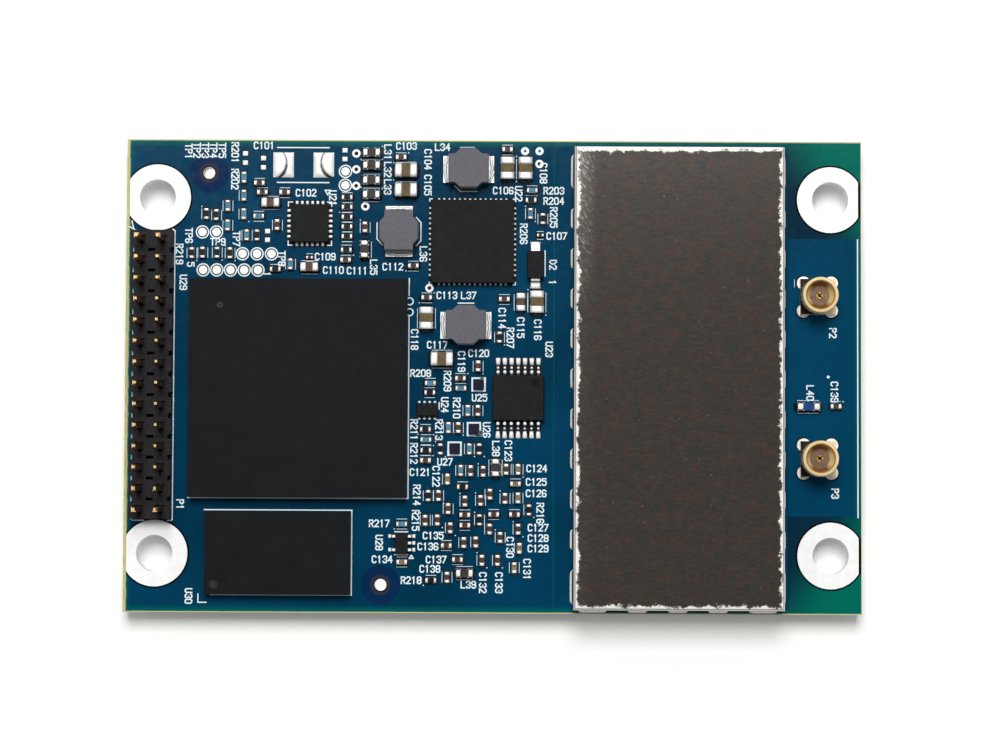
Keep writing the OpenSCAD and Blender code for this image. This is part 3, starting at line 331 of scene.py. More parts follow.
for name, spec, wearers in (
        # matte tin from a solder bath on copper rings and pads: almost white, cloudy
        ("bathTin", tinSpec, ("mount_rings", "test_pads")),
        # reflowed solder: bright, wet looking, with soft creases
        ("reflowedSolder", solderSpec, ("solder_pads", "header_solder", "jack_solder", "shield_solder",
                                        "processor_balls", "memory_balls", "receiver_chip_balls")),
        # solder painted dark as a painted reflection of the board beside it, which it mirrors
        ("paintedReflectionSolder", paintedReflectionSpec, ("driver_chip_leads", "buffer_chip_leads", "power_chip_pads",
                                    "interface_chip_pads")),
        # plated end caps and leads: paler and flatter than solder, with painted shade in dull grey on their steep
        # flanks
        ("platedTin", leadSpec, ("regulator_leads", "inductor_terminals", "diode_leads", "large_capacitor_ends",
                                 "medium_capacitor_ends", "small_capacitor_ends", "tan_capacitor_ends",
                                 "resistor_ends", "bead_ends", "feed_inductor_ends", "tuner_chip_pads",
                                 "oscillator_lid")),
        # gold over nickel on the square pins: almost white on top, painted shade on the flanks that is orange
        # below the tip and browner further down, and flanks that mirror the dark housing when seen from above
        ("goldPlate", pinSpec, ("header_pins",)),
        # thicker gold on the contacts: yellower, with painted shade in dark brown on the steep flanks
        ("contactGold", contactSpec, ("jack_contacts",)),
        # glass filled nylon of the header: dark, slightly speckled, faintly purple
        ("glassFilledNylon", nylonSpec, ("header_housing",)),
        # turned fluoropolymer: waxy, with a painted brown tint that stands for light reflected from the gold round
        # it
        ("turnedInsulator", insulatorSpec, ("jack_insulators",)),
        # epoxy mould compound: near black or dark grey, fine sand texture
        ("epoxyMould", mouldSpec, ("processor_mould", "memory_mould", "receiver_chip_mould", "tuner_chip_moulds")),
        ("greyEpoxyMould", greyMouldSpec, ("power_chip_mould", "interface_chip_mould", "driver_chip_mould",
                                           "regulator_mould", "buffer_chip_mould", "diode_mould")),
        # coat on a bare die: dark violet
        ("bareDieCoat", dieSpec, ("switch_chips",)),
        # resin and glass cloth of chip carriers: dull green
        ("chipCarrier", carrierSpec, ("processor_substrate", "memory_substrate", "receiver_chip_substrate")),
        # pressed and ground ferrite: violet grey or brownish, with specks
        ("pressedFerrite", ferriteSpec, ("inductor_cores",)),
        ("beadFerrite", beadFerriteSpec, ("bead_bodies",)),
        # fired ceramics: satin, cloudy
        ("oliveCeramic", oliveSpec, ("large_capacitor_bodies",)),
        ("greyBrownCeramic", greyBrownSpec, ("medium_capacitor_bodies",)),
        ("brownCeramic", brownSpec, ("small_capacitor_bodies",)),
        ("tanCeramic", tanSpec, ("tan_capacitor_bodies", "wave_filters", "oscillator_base")),
        ("whiteCeramic", whiteSpec, ("resistor_bodies",)),
        # glass coats and glazes: smooth, a little wavy
        ("blackGlassCoat", coatSpec, ("resistor_coats_black",)),
        ("blueGlassCoat", blueCoatSpec, ("resistor_coats_blue",)),
        ("blueGlaze", glazeSpec, ("feed_inductor_body",))):
    made[name] = finish(name, spec)["material"]
    paint(made[name], *wearers)

# solder and plating wetted over an edge, with painted highlight and painted reflection: white on the crown and
# dark where it curves down and would mirror the board; the piece's own shine runs from 0 on the dark rim to 1 on
# the crown
wettedSpec = dict(solderSpec, dark="#1f1e1d", share=(0.25, 0.75))
wetted = finish("wettedSolder", wettedSpec)
tree, add, wettedSolder = wetted["tree"], wetted["add"], wetted["material"]
shine = add("Attribute", {"attribute_name": "shine"}, out="Fac")
share = add("MapRange", {"span": wettedSpec["share"]}, {0: shine})
mixed = add("Mix", {"data_type": "RGBA", 6: toLinear(wettedSpec["dark"])}, {0: share, 7: wetted["colour"]}, 2)
tree.links.new(mixed, wetted["inputs"]["Base Color"])

# gold over turned brass: cream on the rim with painted highlight and shade bands, painted shade in copper brown
# down the bore and dark on the base's far side
jackSpec = {"colours": ("#fbe2ae", "#ffebc2", "#fff4da"), "patch": 0.7, "grain": 0.06, "rough": (0.14, 0.22),
            "relief": 0.001, "metallic": 0.25, "boreShade": "#7d4f24", "base": "#21130a", "paintedGlint": "#ffe3a8",
            "rim": ((0.5, "#5a3a1c"), (0.56, "#ffedba"), (0.63, "#ffe4a4"), (0.675, "#8f5c22"),
                    (0.71, "#ffdb8c"), (0.81, "#ffedc0"), (0.865, "#8a5a24")), "rimReach": 2.0}
insulatorLow, insulatorHigh = solidBoxes("jack_insulators")
jackSpots = ((insulatorLow + insulatorHigh) / 2)[:, :2]
jackTop, jackX = boxOf("jack_shells")[1][2], float(jackSpots[0, 0])
jack = finish("turnedGold", jackSpec)
tree, add = jack["tree"], jack["add"]
_, axes, flat = inMillimetres(add, jack["place"])
toAxis = toNearest(add, flat, jackSpots.tolist())
within = add("MapRange", {"span": (1.5, 1.4)}, {0: toAxis})
deep = add("MapRange", {"span": (jackTop - 0.15, jackTop - 0.4, 0.0, 0.95)}, {0: axes[2]})
boreShade = add("Math", {"operation": "MULTIPLY"}, {0: within, 1: deep})
farSide = add("MapRange", {"span": (jackX + 0.6, jackX - 0.4)}, {0: axes[0]})
lowDown = add("MapRange", {"span": (boardTop + 1.9, boardTop + 1.3)}, {0: axes[2]})
base = add("Math", {"operation": "MULTIPLY"}, {0: farSide, 1: lowDown})
level = add("MapRange", {"span": (0.3, 0.7, 0.25)}, {0: upwardOf(add)})
base = add("Math", {"operation": "MULTIPLY"}, {0: base, 1: level})
# painted highlight and shade bands on the turned steps of the rim, by distance from the axis
step = add("MapRange", {"span": (0.0, jackSpec["rimReach"])}, {0: toAxis})
rim = add("ValToRGB", {"stops": jackSpec["rim"]}, {0: step})
highUp = add("MapRange", {"span": (jackTop - 0.5, jackTop - 0.3)}, {0: axes[2]})
mixed = add("Mix", {"data_type": "RGBA"}, {0: highUp, 6: jack["colour"], 7: rim}, 2)
# painted highlight: the bore's left and right walls are painted as catching the light
fromMiddle = add("Math", {"operation": "SUBTRACT", 1: jackX}, {0: axes[0]})
fromMiddle = add("Math", {"operation": "ABSOLUTE"}, {0: fromMiddle})
sideways = add("Math", {"operation": "DIVIDE"}, {0: fromMiddle, 1: toAxis})
paintedGlint = add("MapRange", {"span": (0.55, 0.9, 0.0, 0.9)}, {0: sideways})
paintedGlint = add("Math", {"operation": "MULTIPLY"}, {0: paintedGlint, 1: boreShade})
mixed = layOver(add, mixed, ((boreShade, jackSpec["boreShade"]), (paintedGlint, jackSpec["paintedGlint"]), (base, jackSpec["base"])))
tree.links.new(mixed, jack["inputs"]["Base Color"])
paint(jack["material"], "jack_shells")
print("finishes made")


# circuit board
# glossy solder mask on glass cloth laminate: deep blue over copper, teal where there is none,
# navy in the clear discs of the tooling holes, bare pale laminate along the cut edges
boardSpec = {"colours": ("#00344d", "#013b58", "#024363"), "patch": 9.0, "grain": 0.5, "rough": (0.1, 0.16),
             "relief": 0.0005, "metallic": 0.0, "ior": 1.5, "gloss": 0.15, "navy": "#082c40", "disc": "#072a50",
             "teal": "#006a5c", "zone": "#015276", "laminate": ("#bdb87c", "#c9c58a", "#d3cf98"), "cloth": 0.7,
             "scorch": "#5c4519", "bareStrip": {"left": 0.3, "right": 0.04, "ends": 0.1}, "tealStrip": 0.8,
             "jackZone": (28.45, 13.4), "zoneEnd": (35.3, 22.7), "clearDisc": 1.9, "seam": 5.85,
             "toolingHoles": ((-27.6, 19.6), (-10.75, -20.15)), "holeRadius": 0.575, "holeRimDark": "#100b08",
             "mount": (32.55, 17.2), "ringRadius": 3.2, "moat": "#02080f"}
mask = finish("solderMask", boardSpec)
tree, add = mask["tree"], mask["add"]
_, axes, flat = inMillimetres(add, mask["place"])
sideX, sideY = (add("Math", {"operation": "ABSOLUTE"}, {0: axes[k]}) for k in (0, 1))
toEndX, toEndY = (add("Math", {"operation": "SUBTRACT", 0: boardHigh[k]}, {1: side})
                  for k, side in enumerate((sideX, sideY)))
toEdge = add("Math", {"operation": "MINIMUM"}, {0: toEndX, 1: toEndY})
# the corners by the jacks: outside the copper zone, greener with the distance from its corner
past = [add("MapRange", {"span": (start, end, 0.0, 0.62)}, {0: side})
        for start, end, side in zip(boardSpec["jackZone"], boardSpec["zoneEnd"], (axes[0], sideY))]
away = add("Math", {"operation": "ADD"}, {0: past[0], 1: past[1]})
inX, inY = (add("Math", {"operation": "GREATER_THAN", 1: start}, {0: side})
            for start, side in zip(boardSpec["jackZone"], (axes[0], sideY)))
corner = add("Math", {"operation": "MULTIPLY"}, {0: inX, 1: inY})
zone = add("Math", {"operation": "MULTIPLY", 1: 0.2}, {0: inX})
cornerTeal = add("MapRange", {"span": (0.3, 0.95), "interpolation_type": "SMOOTHSTEP"}, {0: away})
cornerTeal = add("Math", {"operation": "MULTIPLY"}, {0: cornerTeal, 1: corner})
edgeTeal = add("MapRange", {"span": (boardSpec["tealStrip"], 0.2, 0.0, 0.6),
                            "interpolation_type": "SMOOTHSTEP"}, {0: toEdge})
teal = add("Math", {"operation": "MAXIMUM"}, {0: cornerTeal, 1: edgeTeal})
# a slit between two copper areas shows as a thin greener line
fromSeam = add("Math", {"operation": "SUBTRACT", 1: boardSpec["seam"]}, {0: axes[0]})
fromSeam = add("Math", {"operation": "ABSOLUTE"}, {0: fromSeam})
seam = add("MapRange", {"span": (0.1, 0.04, 0.0, 0.3)}, {0: fromSeam})
teal = add("Math", {"operation": "MAXIMUM"}, {0: teal, 1: seam})
toHole = toNearest(add, flat, boardSpec["toolingHoles"])
clear, hole = boardSpec["clearDisc"], boardSpec["holeRadius"]
# a brown halo and a dark ring at the edge round each tooling hole
disc, scorch, holeRimDark = (add("MapRange", {"span": span}, {0: toHole}) for span in (
    (clear + 0.06, clear - 0.06), (hole + 0.5, hole + 0.05, 0.0, 0.6), (hole + 0.2, hole + 0.08, 0.0, 0.85)))
# the mask stops short of the mounting rings and leaves a dark line round them
folded = add("CombineXYZ", links={0: sideX, 1: sideY})
toMount = add("VectorMath", {"operation": "DISTANCE", 1: (*boardSpec["mount"], 0.0)}, {0: folded}, "Value")
ring = boardSpec["ringRadius"]
moat = add("MapRange", {"span": (ring + 0.2, ring + 0.14, 0.0, 0.95)}, {0: toMount})
clothNoise = add("TexNoise", {"Scale": 1 / (boardSpec["cloth"] * mm), "Detail": 2.0}, {"Vector": mask["place"]})
cloth = add("ValToRGB", {"stops": list(zip((0.3, 0.5, 0.7), boardSpec["laminate"]))}, {0: clothNoise})
ragged = add("Math", {"operation": "MULTIPLY_ADD", 1: 0.8, 2: -0.4}, {0: clothNoise})
# how far into the bare strip of the nearest edge, 1 at its inner rim
strip = boardSpec["bareStrip"]
toLeft, toRight, toEnds = (add("MapRange", {"span": span, "clamp": False}, {0: side}) for span, side in (
    ((boardLow[0], boardLow[0] + strip["left"]), axes[0]),
    ((boardHigh[0], boardHigh[0] - strip["right"]), axes[0]), ((0.0, strip["ends"]), toEndY)))
depth = add("Math", {"operation": "MINIMUM"}, {0: toLeft, 1: toRight})
depth = add("Math", {"operation": "MINIMUM"}, {0: depth, 1: toEnds})
depth = add("Math", {"operation": "ADD"}, {0: depth, 1: ragged})
bare = add("MapRange", {"span": (1.2, 0.8)}, {0: depth})
mixed = layOver(add, mask["colour"], [(share, boardSpec[key]) for share, key in (
    (zone, "zone"), (corner, "navy"), (teal, "teal"), (disc, "disc"), (scorch, "scorch"), (holeRimDark, "holeRimDark"),
    (moat, "moat"))])
mixed = add("Mix", {"data_type": "RGBA"}, {0: bare, 6: mixed, 7: cloth}, 2)
tree.links.new(mixed, mask["inputs"]["Base Color"])
paint(mask["material"], "circuit_board")
print("board laid")


# shield can
# dull tinned sheet: dark when it mirrors the gap above it, fine rolling grain along x, specks, slanting scuffs
# near the left bend, a painted highlight as a ragged white band along the bends, and painted shade on the walls
# and in a thin line where the bends turn away
canSpec = {"colours": ("#5f4b42", "#534c47", "#484d46"), "patch": 1.1, "grain": 0.2, "rough": (0.26, 0.36),
           "relief": 0.002, "metallic": 0.4, "dark": "#3d3834", "bend": "#fbf9f0", "scuff": "#dcd7d0",
           "wall": "#57514b", "crease": "#5d564d", "grainAcross": 0.22, "grainAlong": 0.5, "bendBand": 0.4,
           "ragged": 0.95, "bandNoiseSize": 1.1, "speck": 0.3, "scuffSize": (0.5, 0.1), "scuffTurn": -52,
           "creaseInset": 0.15}
sheet = finish("tinnedSheet", canSpec)
tree, add = sheet["tree"], sheet["add"]
inMm, axes, _ = inMillimetres(add, sheet["place"])
stretched = add("Mapping", {"Scale": (1 / canSpec["grainAlong"], 1 / canSpec["grainAcross"], 1.0)},
                {"Vector": inMm})
rolling = add("TexNoise", {"Scale": 1.0, "Detail": 3.0}, {"Vector": stretched})
sides = [add("Math", {"operation": "SUBTRACT", 1: canLow[k]}, {0: axes[k]}) for k in (0, 1)]
sides += [add("Math", {"operation": "SUBTRACT", 0: canHigh[k]}, {1: axes[k]}) for k in (0, 1)]
# the least distance from the first three sides, which leaves out the one towards the lamp, then from all
inset = sides[0]
for side in sides[1:]:
    lowSide, inset = inset, add("Math", {"operation": "MINIMUM"}, {0: inset, 1: side})
# painted highlight: the bends are painted as a ragged white band, less metallic and rougher, standing for the
# light the bent sheet catches
bandNoise = add("TexNoise", {"Scale": 1 / canSpec["bandNoiseSize"], "Detail": 6.0, "Roughness": 0.75}, {"Vector": inMm})
bandNoise = add("Math", {"operation": "MULTIPLY_ADD", 1: canSpec["ragged"] * 2, 2: -canSpec["ragged"]}, {0: bandNoise})
raggedInset = add("Math", {"operation": "ADD"}, {0: inset, 1: bandNoise})
bend = add("MapRange", {"span": (canSpec["bendBand"] + 0.1, canSpec["bendBand"] - 0.06)}, {0: raggedInset})
slant = add("Mapping", {"vector_type": "TEXTURE", "Scale": (*canSpec["scuffSize"], 1.0),
                        "Rotation": (0.0, 0.0, math.radians(canSpec["scuffTurn"]))}, {"Vector": inMm})
scuff = add("TexNoise", {"Scale": 1.0, "Detail": 2.0}, {"Vector": slant})
scuff = add("MapRange", {"span": (0.54, 0.68, 0.14, 0.95)}, {0: scuff})
nearLeft = add("MapRange", {"span": (canLow[0] + 2.4, canLow[0] + 0.4),
                            "interpolation_type": "SMOOTHSTEP"}, {0: axes[0]})
nearTop = add("MapRange", {"span": (canHigh[1] - 16.0, canHigh[1] - 2.0, 0.1)}, {0: axes[1]})
scuff = add("Math", {"operation": "MULTIPLY"}, {0: scuff, 1: nearLeft})
scuff = add("Math", {"operation": "MULTIPLY"}, {0: scuff, 1: nearTop})
speck = add("TexNoise", {"Scale": 1 / canSpec["speck"], "Detail": 1.0}, {"Vector": inMm})
speck = add("MapRange", {"span": (0.74, 0.82, 0.0, 0.3)}, {0: speck})
grainShade = add("MapRange", {"span": (0.3, 0.7, 0.0, 0.6)}, {0: rolling})
# painted shade: steep faces of the can take a darker colour
wall = add("MapRange", {"span": (0.5, 0.2)}, {0: upwardOf(add)})
# painted shade: a thin dark line where the bend turns away, on every side but the one towards the lamp
crease = add("Math", {"operation": "SUBTRACT", 1: canSpec["creaseInset"]}, {0: lowSide})
crease = add("Math", {"operation": "ABSOLUTE"}, {0: crease})
crease = add("MapRange", {"span": (0.07, 0.03, 0.0, 0.8)}, {0: crease})
mixed = layOver(add, sheet["colour"], [(share, canSpec[key]) for share, key in (
    (grainShade, "dark"), (scuff, "scuff"), (speck, "scuff"), (bend, "bend"), (crease, "crease"), (wall, "wall"))])
bendMetal = add("MapRange", {"span": (0.0, 1.0, 0.4, 0.0)}, {0: bend})
bendRough = add("MapRange", {"span": (0.0, 1.0, 0.15, 0.45)}, {0: bend})
rollRelief = add("Bump", {"Strength": 0.3, "Distance": canSpec["relief"] * mm}, {"Height": rolling})
for source, socket in ((mixed, "Base Color"), (bendMetal, "Metallic"), (bendRough, "Roughness"),
                       (rollRelief, "Normal")):
    tree.links.new(source, sheet["inputs"][socket])
paint(sheet["material"], "shield_can")

# solder along the can's feet: hollow ramps that thin out at both ends of each foot
beadSpec = {"rows": 13, "columns": 8, "endSharpness": 8, "dark": 0.4, "thinnest": 0.1, "hollow": 1.7, "lift": 0.01}
beadLow, beadHigh = solidBoxes("shield_solder")
beadSize = beadHigh - beadLow
tall = beadSize[:, 1] > beadSize[:, 0]
beadMiddle = (beadLow + beadHigh) / 2
canMiddle = (canLow + canHigh) / 2
u = np.linspace(-1, 1, beadSpec["rows"])[None, :, None]
v = np.linspace(0, 1, beadSpec["columns"])[None, None, :]
taper = (1 - np.abs(u) ** beadSpec["endSharpness"]) ** 0.5 * (1 - beadSpec["thinnest"]) + beadSpec["thinnest"]
length = np.where(tall, beadSize[:, 1], beadSize[:, 0])[:, None, None]
reach = np.where(tall, beadSize[:, 0], beadSize[:, 1])[:, None, None]
outward = np.sign(np.where(tall, *(beadMiddle - canMiddle)[:, :2].T))[:, None, None]
runs = beadMiddle[:, None, None, :2]
alongRun = length / 2 * u + 0 * v
awayRun = outward * reach * (v * taper - 0.5)
rise = beadLow[:, 2][:, None, None] + beadSize[:, 2][:, None, None] * (1 - v) ** beadSpec["hollow"] * taper
pickTall = tall[:, None, None]
beadX = runs[..., 0] + np.where(pickTall, awayRun, alongRun)
beadY = runs[..., 1] + np.where(pickTall, alongRun, awayRun)
beadTop = np.stack([beadX, beadY, rise + beadSpec["lift"]], -1)
beadBottom = np.stack([beadX, beadY, np.broadcast_to(beadLow[:, 2][:, None, None], beadX.shape)], -1)
# painted shade on the steep part against the can, painted highlight on the ramp's outer part
beadShine = np.where(v > beadSpec["dark"], 1.0, 0.1) + 0 * rise
beads = slabPiece("shield_solder_ramps", beadTop, beadBottom, wettedSolder, "solder", smooth=True, shine=beadShine)
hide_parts("shield_solder")
print("shield can dressed")


# solder at the chip ends and lead tips
# a ramp from each end: height falls with the square of the distance and towards both sides
rampSpec = {"rows": 5, "columns": 5, "floor": 0.02, "tuck": 0.03, "narrow": 0.3, "sag": 0.35, "widen": 1.06,
            "climb": 0.62, "reach": 0.1, "reachShare": 0.1}


def rampSlabs(face, outward, width, rise, reach):
    u = np.linspace(0, 1, rampSpec["rows"])[None, :, None]
    v = np.linspace(-1, 1, rampSpec["columns"])[None, None, :]
    across = np.stack([-outward[:, 1], outward[:, 0]], 1)
    distance = (reach + rampSpec["tuck"])[:, None, None] * u - rampSpec["tuck"] + 0 * v
    sideways = width[:, None, None] / 2 * v * (1 - rampSpec["narrow"] * u ** 3)
    plan = (face[:, None, None, :] + outward[:, None, None, :] * distance[..., None]
            + across[:, None, None, :] * sideways[..., None])
    height = boardTop + rampSpec["floor"] + rise[:, None, None] * (1 - u) ** 2 * (1 - rampSpec["sag"] * v ** 2)
    ground = np.full(height.shape, footLevel)
    return [np.concatenate([plan, z[..., None]], -1) for z in (height, ground)]


chipKinds = {kind: chipParts(bodies, ends) for kind, bodies, ends in (
    ("large", "large_capacitor_bodies", "large_capacitor_ends"),
    ("medium", "medium_capacitor_bodies", "medium_capacitor_ends"),
    ("small", "small_capacitor_bodies", "small_capacitor_ends"),
    ("tan", "tan_capacitor_bodies", "tan_capacitor_ends"),
    ("resistor", "resistor_bodies", "resistor_ends"),
    ("bead", "bead_bodies", "bead_ends"),
    ("feed", "feed_inductor_body", "feed_inductor_ends"))}
chips = {key: np.concatenate([part[key] for part in chipKinds.values()]) for key in chipKinds["small"]}
ramps = []
for side in (-1, 1):
    face = chips["middle"] + side * chips["along"] * chips["length"][:, None] / 2
    reach = rampSpec["reach"] + rampSpec["reachShare"] * chips["length"]
    ramps.append(rampSlabs(face, side * chips["along"], chips["width"] * rampSpec["widen"],
                           chips["height"] * rampSpec["climb"], reach))
slabPiece("chip_solder_ramps", *(np.concatenate(grids) for grids in zip(*ramps)), made["paintedReflectionSolder"], "solder",
          smooth=True)

# painted highlights: drops of white with painted dark rims on what the solder has wetted: end caps, pads, the
# leads' shoulders, heels and lands
dropShapes = {"cap": {"round": 0.4, "flare": 0.0, "rise": 0.03, "depth": 0.02, "rim": 1.15},
              "wideCap": {"round": 0.2, "flare": 0.0, "rise": 0.02, "depth": 0.02, "rim": 0.5},
              "dot": {"round": 0.9, "flare": 0.0, "rise": 0.05, "depth": 0.02, "rim": 0.5},
              "bead": {"round": 1.0, "flare": 0.0, "rise": 0.06, "depth": 0.02, "rim": 0.1},
              "tooth": {"round": 0.35, "flare": 0.05, "rise": 0.04, "depth": 0.05, "rim": 0.45},
              "land": {"round": 0.25, "flare": 0.15, "rise": 0.05, "depth": 0.05, "rim": 0.4}}
capDrop = {"inset": 0.95, "length": 1.1, "lift": 0.015}
drops = []
for kind, part in chipKinds.items():
    shape = "wideCap" if kind in ("large", "medium") else "cap"
    for side in (-1, 1):
        span = part["length"] - part["cap"] * capDrop["inset"]
        spot = part["middle"] + side * part["along"] * span[:, None] / 2
        drops.append(blobSlabs(spot, side * part["along"], part["cap"] * capDrop["length"], part["width"],
                               part["high"][:, 2] + capDrop["lift"], dropShapes[shape]))
# of each lead: distance from the mould's side, length and width of the drop, its height and shape
leadDrops = {"driver_chip": ((0.28, 0.34, 0.34, 0.69, "dot"), (0.72, 0.24, 0.26, 0.17, "dot"),
                             (1.34, 0.7, 0.42, 0.06, "land")),
             "buffer_chip": ((0.2, 0.27, 0.27, 0.4, "bead"),),
             "regulator": ((0.5, 0.35, 0.36, 0.08, "land"),),
             "diode": ((0.68, 0.5, 0.95, 0.08, "land"),),
             "power_chip": ((0.11, 0.24, 0.22, 0.03, "dot"),),
             "interface_chip": ((0.2, 0.4, 0.27, 0.03, "tooth"),)}
for chip, rows in leadDrops.items():
    leadless = chip in ("power_chip", "interface_chip")
    low, high = solidBoxes(chip + ("_pads" if leadless else "_leads"))
    mouldLow, mouldHigh = (corner[:2] for corner in boxOf(chip + "_mould"))
    middle = (low + high)[:, :2] / 2
    outer = (high - low)[:, :2].max(1) < 1.5  # all but the cooling pad below the chip
    # the side of the mould that a lead leaves from is the one it reaches past
    past = np.concatenate([mouldLow - low[:, :2], high[:, :2] - mouldHigh], 1)[outer]
    side = past.argmax(1)
    outward = np.array([(-1.0, 0.0), (0.0, -1.0), (1.0, 0.0), (0.0, 1.0)])[side]
    edge = np.concatenate([mouldLow, mouldHigh])[side]
    start = np.where(np.abs(outward) > 0.5, edge[:, None], middle[outer])
    # heights count from the board, or from the pads of a chip without leads
    ground = high[outer][:, 2] if leadless else boardTop
    for distance, length, width, level, shape in rows:
        drops.append(blobSlabs(start + outward * distance, outward, length, width, ground + level,
                               dropShapes[shape]))
dropTops, dropFeet, dropShine = (np.concatenate(grids) for grids in zip(*drops))
slabPiece("painted_highlight_drops", dropTops, dropFeet, wettedSolder, "solder", smooth=True, shine=dropShine)

# crescents of solder between the inductors' terminals and cores, white on the crown and dark at the edges as
# painted highlight and shade: v runs along the neck, u across it
crescentSpec = {"rows": 4, "columns": 17, "width": 0.3, "bow": 0.16, "rise": 0.14, "wobble": 0.03, "tuck": 0.1}
coreLow, coreHigh = solidBoxes("inductor_cores")
endLow, endHigh = solidBoxes("inductor_terminals")
endMiddle, endSize = (endLow + endHigh)[:, :2] / 2, endHigh - endLow
coreMiddle = (coreLow + coreHigh)[:, :2] / 2
nearCore = np.linalg.norm(endMiddle[:, None] - coreMiddle[None], axis=2).argmin(1)
level = endSize[:, 1] > endSize[:, 0]
outward = np.where(level[:, None], [1.0, 0.0], [0.0, 1.0])
outward = outward * np.sign((endMiddle - coreMiddle[nearCore]).sum(1))[:, None]
across = np.stack([-outward[:, 1], outward[:, 0]], 1)
u = np.linspace(-1, 1, crescentSpec["rows"])[None, :, None]
v = np.linspace(-1, 1, crescentSpec["columns"])[None, None, :]
half = np.where(level, endSize[:, 1], endSize[:, 0])[:, None, None] / 2
wobble = draw.normal(0, crescentSpec["wobble"], (len(endLow), 1, crescentSpec["columns"]))
distance = (crescentSpec["bow"] * (1 - v ** 2) - crescentSpec["tuck"]
            + crescentSpec["width"] / 2 * u * (1 - 0.5 * v ** 6) + wobble)
plan = (endMiddle[:, None, None, :] + outward[:, None, None, :] * distance[..., None]
        + across[:, None, None, :] * (half * v + 0 * u)[..., None])
rise = endHigh[:, 2][:, None, None] + 0.01 + crescentSpec["rise"] * (1 - u ** 2) * (1 - v ** 8) + 0 * wobble
ground = rise * 0 + endHigh[:, 2][:, None, None] - 0.05
paintedGlint = 1 - 0.9 * np.abs(u) ** 3 + 0 * rise
slabPiece("terminal_crescents", *(np.concatenate([plan, z[..., None]], -1) for z in (rise, ground)), wettedSolder,
          "solder", smooth=True, shine=paintedGlint)
print("chip ends soldered")


# bare pads: pillows of solder, u and v from -1 to 1, with a bowed crease in the two large ones, darkened by
# painted shade, and painted dark spots
pillowSpec = {"corners": 37, "rise": 0.15, "flat": 0.06, "crease": 0.09, "creaseWidth": (0.08, 0.15),
              "bends": ((-0.95, 0.15, 1.25), (0.95, 0.2, 1.2)), "shadeSpots": ((0.15, -0.75), (0.2, -0.75)),
              "shadeSpotReach": (0.5, 0.35), "lift": 0.03, "paintedShade": (0.75, 0.22), "sizeWeight": 1000}
padLow, padHigh = solidBoxes("solder_pads")
# the two large ones first, then from left to right; pads at one x stay in the order of the first sort
order = np.argsort((padLow + padHigh)[:, 0] - pillowSpec["sizeWeight"] * (padHigh - padLow)[:, 0])
padMiddle, padSize = ((padLow + padHigh) / 2)[order], (padHigh - padLow)[order]
order = np.lexsort((padMiddle[:, 0], padSize[:, 0] < 1))
padMiddle, padSize = padMiddle[order][:, :, None, None], padSize[order][:, :, None, None]
u = np.linspace(-1, 1, pillowSpec["corners"])[None, :, None]
v = np.linspace(-1, 1, pillowSpec["corners"])[None, None, :]
bends, shadeSpots = (np.array(pillowSpec[key])[:, :, None, None] for key in ("bends", "shadeSpots"))
offset = np.hypot(u - bends[:, 0], v - bends[:, 1]) - bends[:, 2]
crease = np.zeros((len(padMiddle), pillowSpec["corners"], pillowSpec["corners"]))
crease[:2] = np.exp(-np.abs(offset / np.where(v > 0, *pillowSpec["creaseWidth"])) ** 2)
# painted shade: dark spots on the two large pads, without a dip in their height
hollow = np.zeros_like(crease)
reachU, reachV = pillowSpec["shadeSpotReach"]
hollow[:2] = np.exp(-((u - shadeSpots[:, 0]) / reachU) ** 2 - ((v - shadeSpots[:, 1]) / reachV) ** 2)
swell = (1 - np.abs(u) ** 6) * (1 - np.abs(v) ** 6)
pillowX = padMiddle[:, 0] + padSize[:, 0] / 2 * u + 0 * v
pillowY = padMiddle[:, 1] + padSize[:, 1] / 2 * v + 0 * u
rise = np.where(padSize[:, 0] > 1, pillowSpec["rise"], pillowSpec["flat"])
pillowZ = boardTop + pillowSpec["lift"] + (rise - pillowSpec["crease"] * crease) * swell
creaseShade, spotShade = pillowSpec["paintedShade"]
pillows = slabPiece("solder_pillows", np.stack([pillowX, pillowY, pillowZ], -1),
                    np.stack([pillowX, pillowY, np.full(pillowX.shape, footLevel)], -1), wettedSolder,
                    "solder", smooth=True, shine=1 - creaseShade * crease - spotShade * hollow)
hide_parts("solder_pads")
print("bare pads soldered")


# windows in the solder mask round the soldered pads and chips: bare laminate, made dark as painted shade along the
# parts' edges
windowSpec = {"low": footLevel, "high": boardTop + 0.006, "layer": 0.0005,
              "colours": ("#060f18", "#08131d", "#0a1722"), "capGap": (0.34, 0.13), "padGap": 0.16}
laminateWithPaintedShade = finish("laminateWithPaintedShade", dict(mouldSpec, colours=windowSpec["colours"], patch=0.6))["material"]
endGap, sideGap = windowSpec["capGap"]
windows = [(*middle, *(along * (length + endGap) + (1 - along) * (width + sideGap)))
           for middle, along, length, width in zip(chips["middle"], chips["along"], chips["length"],
                                                   chips["width"])]
for node, across, gap in (("driver_chip_leads", 0.16, 0.72), ("power_chip_pads", 0.08, 0.08),
                          ("interface_chip_pads", 0.1, 0.1)):
    low, high = boxOf(node)
    windows.append((*((low + high) / 2)[:2], *((high - low)[:2] + 2 * np.array((across, gap)))))
smallPads = padSize[:, 0, 0, 0] < 1
windows += [(*spot, *size) for spot, size in zip(padMiddle[smallPads, :2, 0, 0],
                                                 padSize[smallPads, :2, 0, 0] + windowSpec["padGap"])]
windows = np.array(windows)
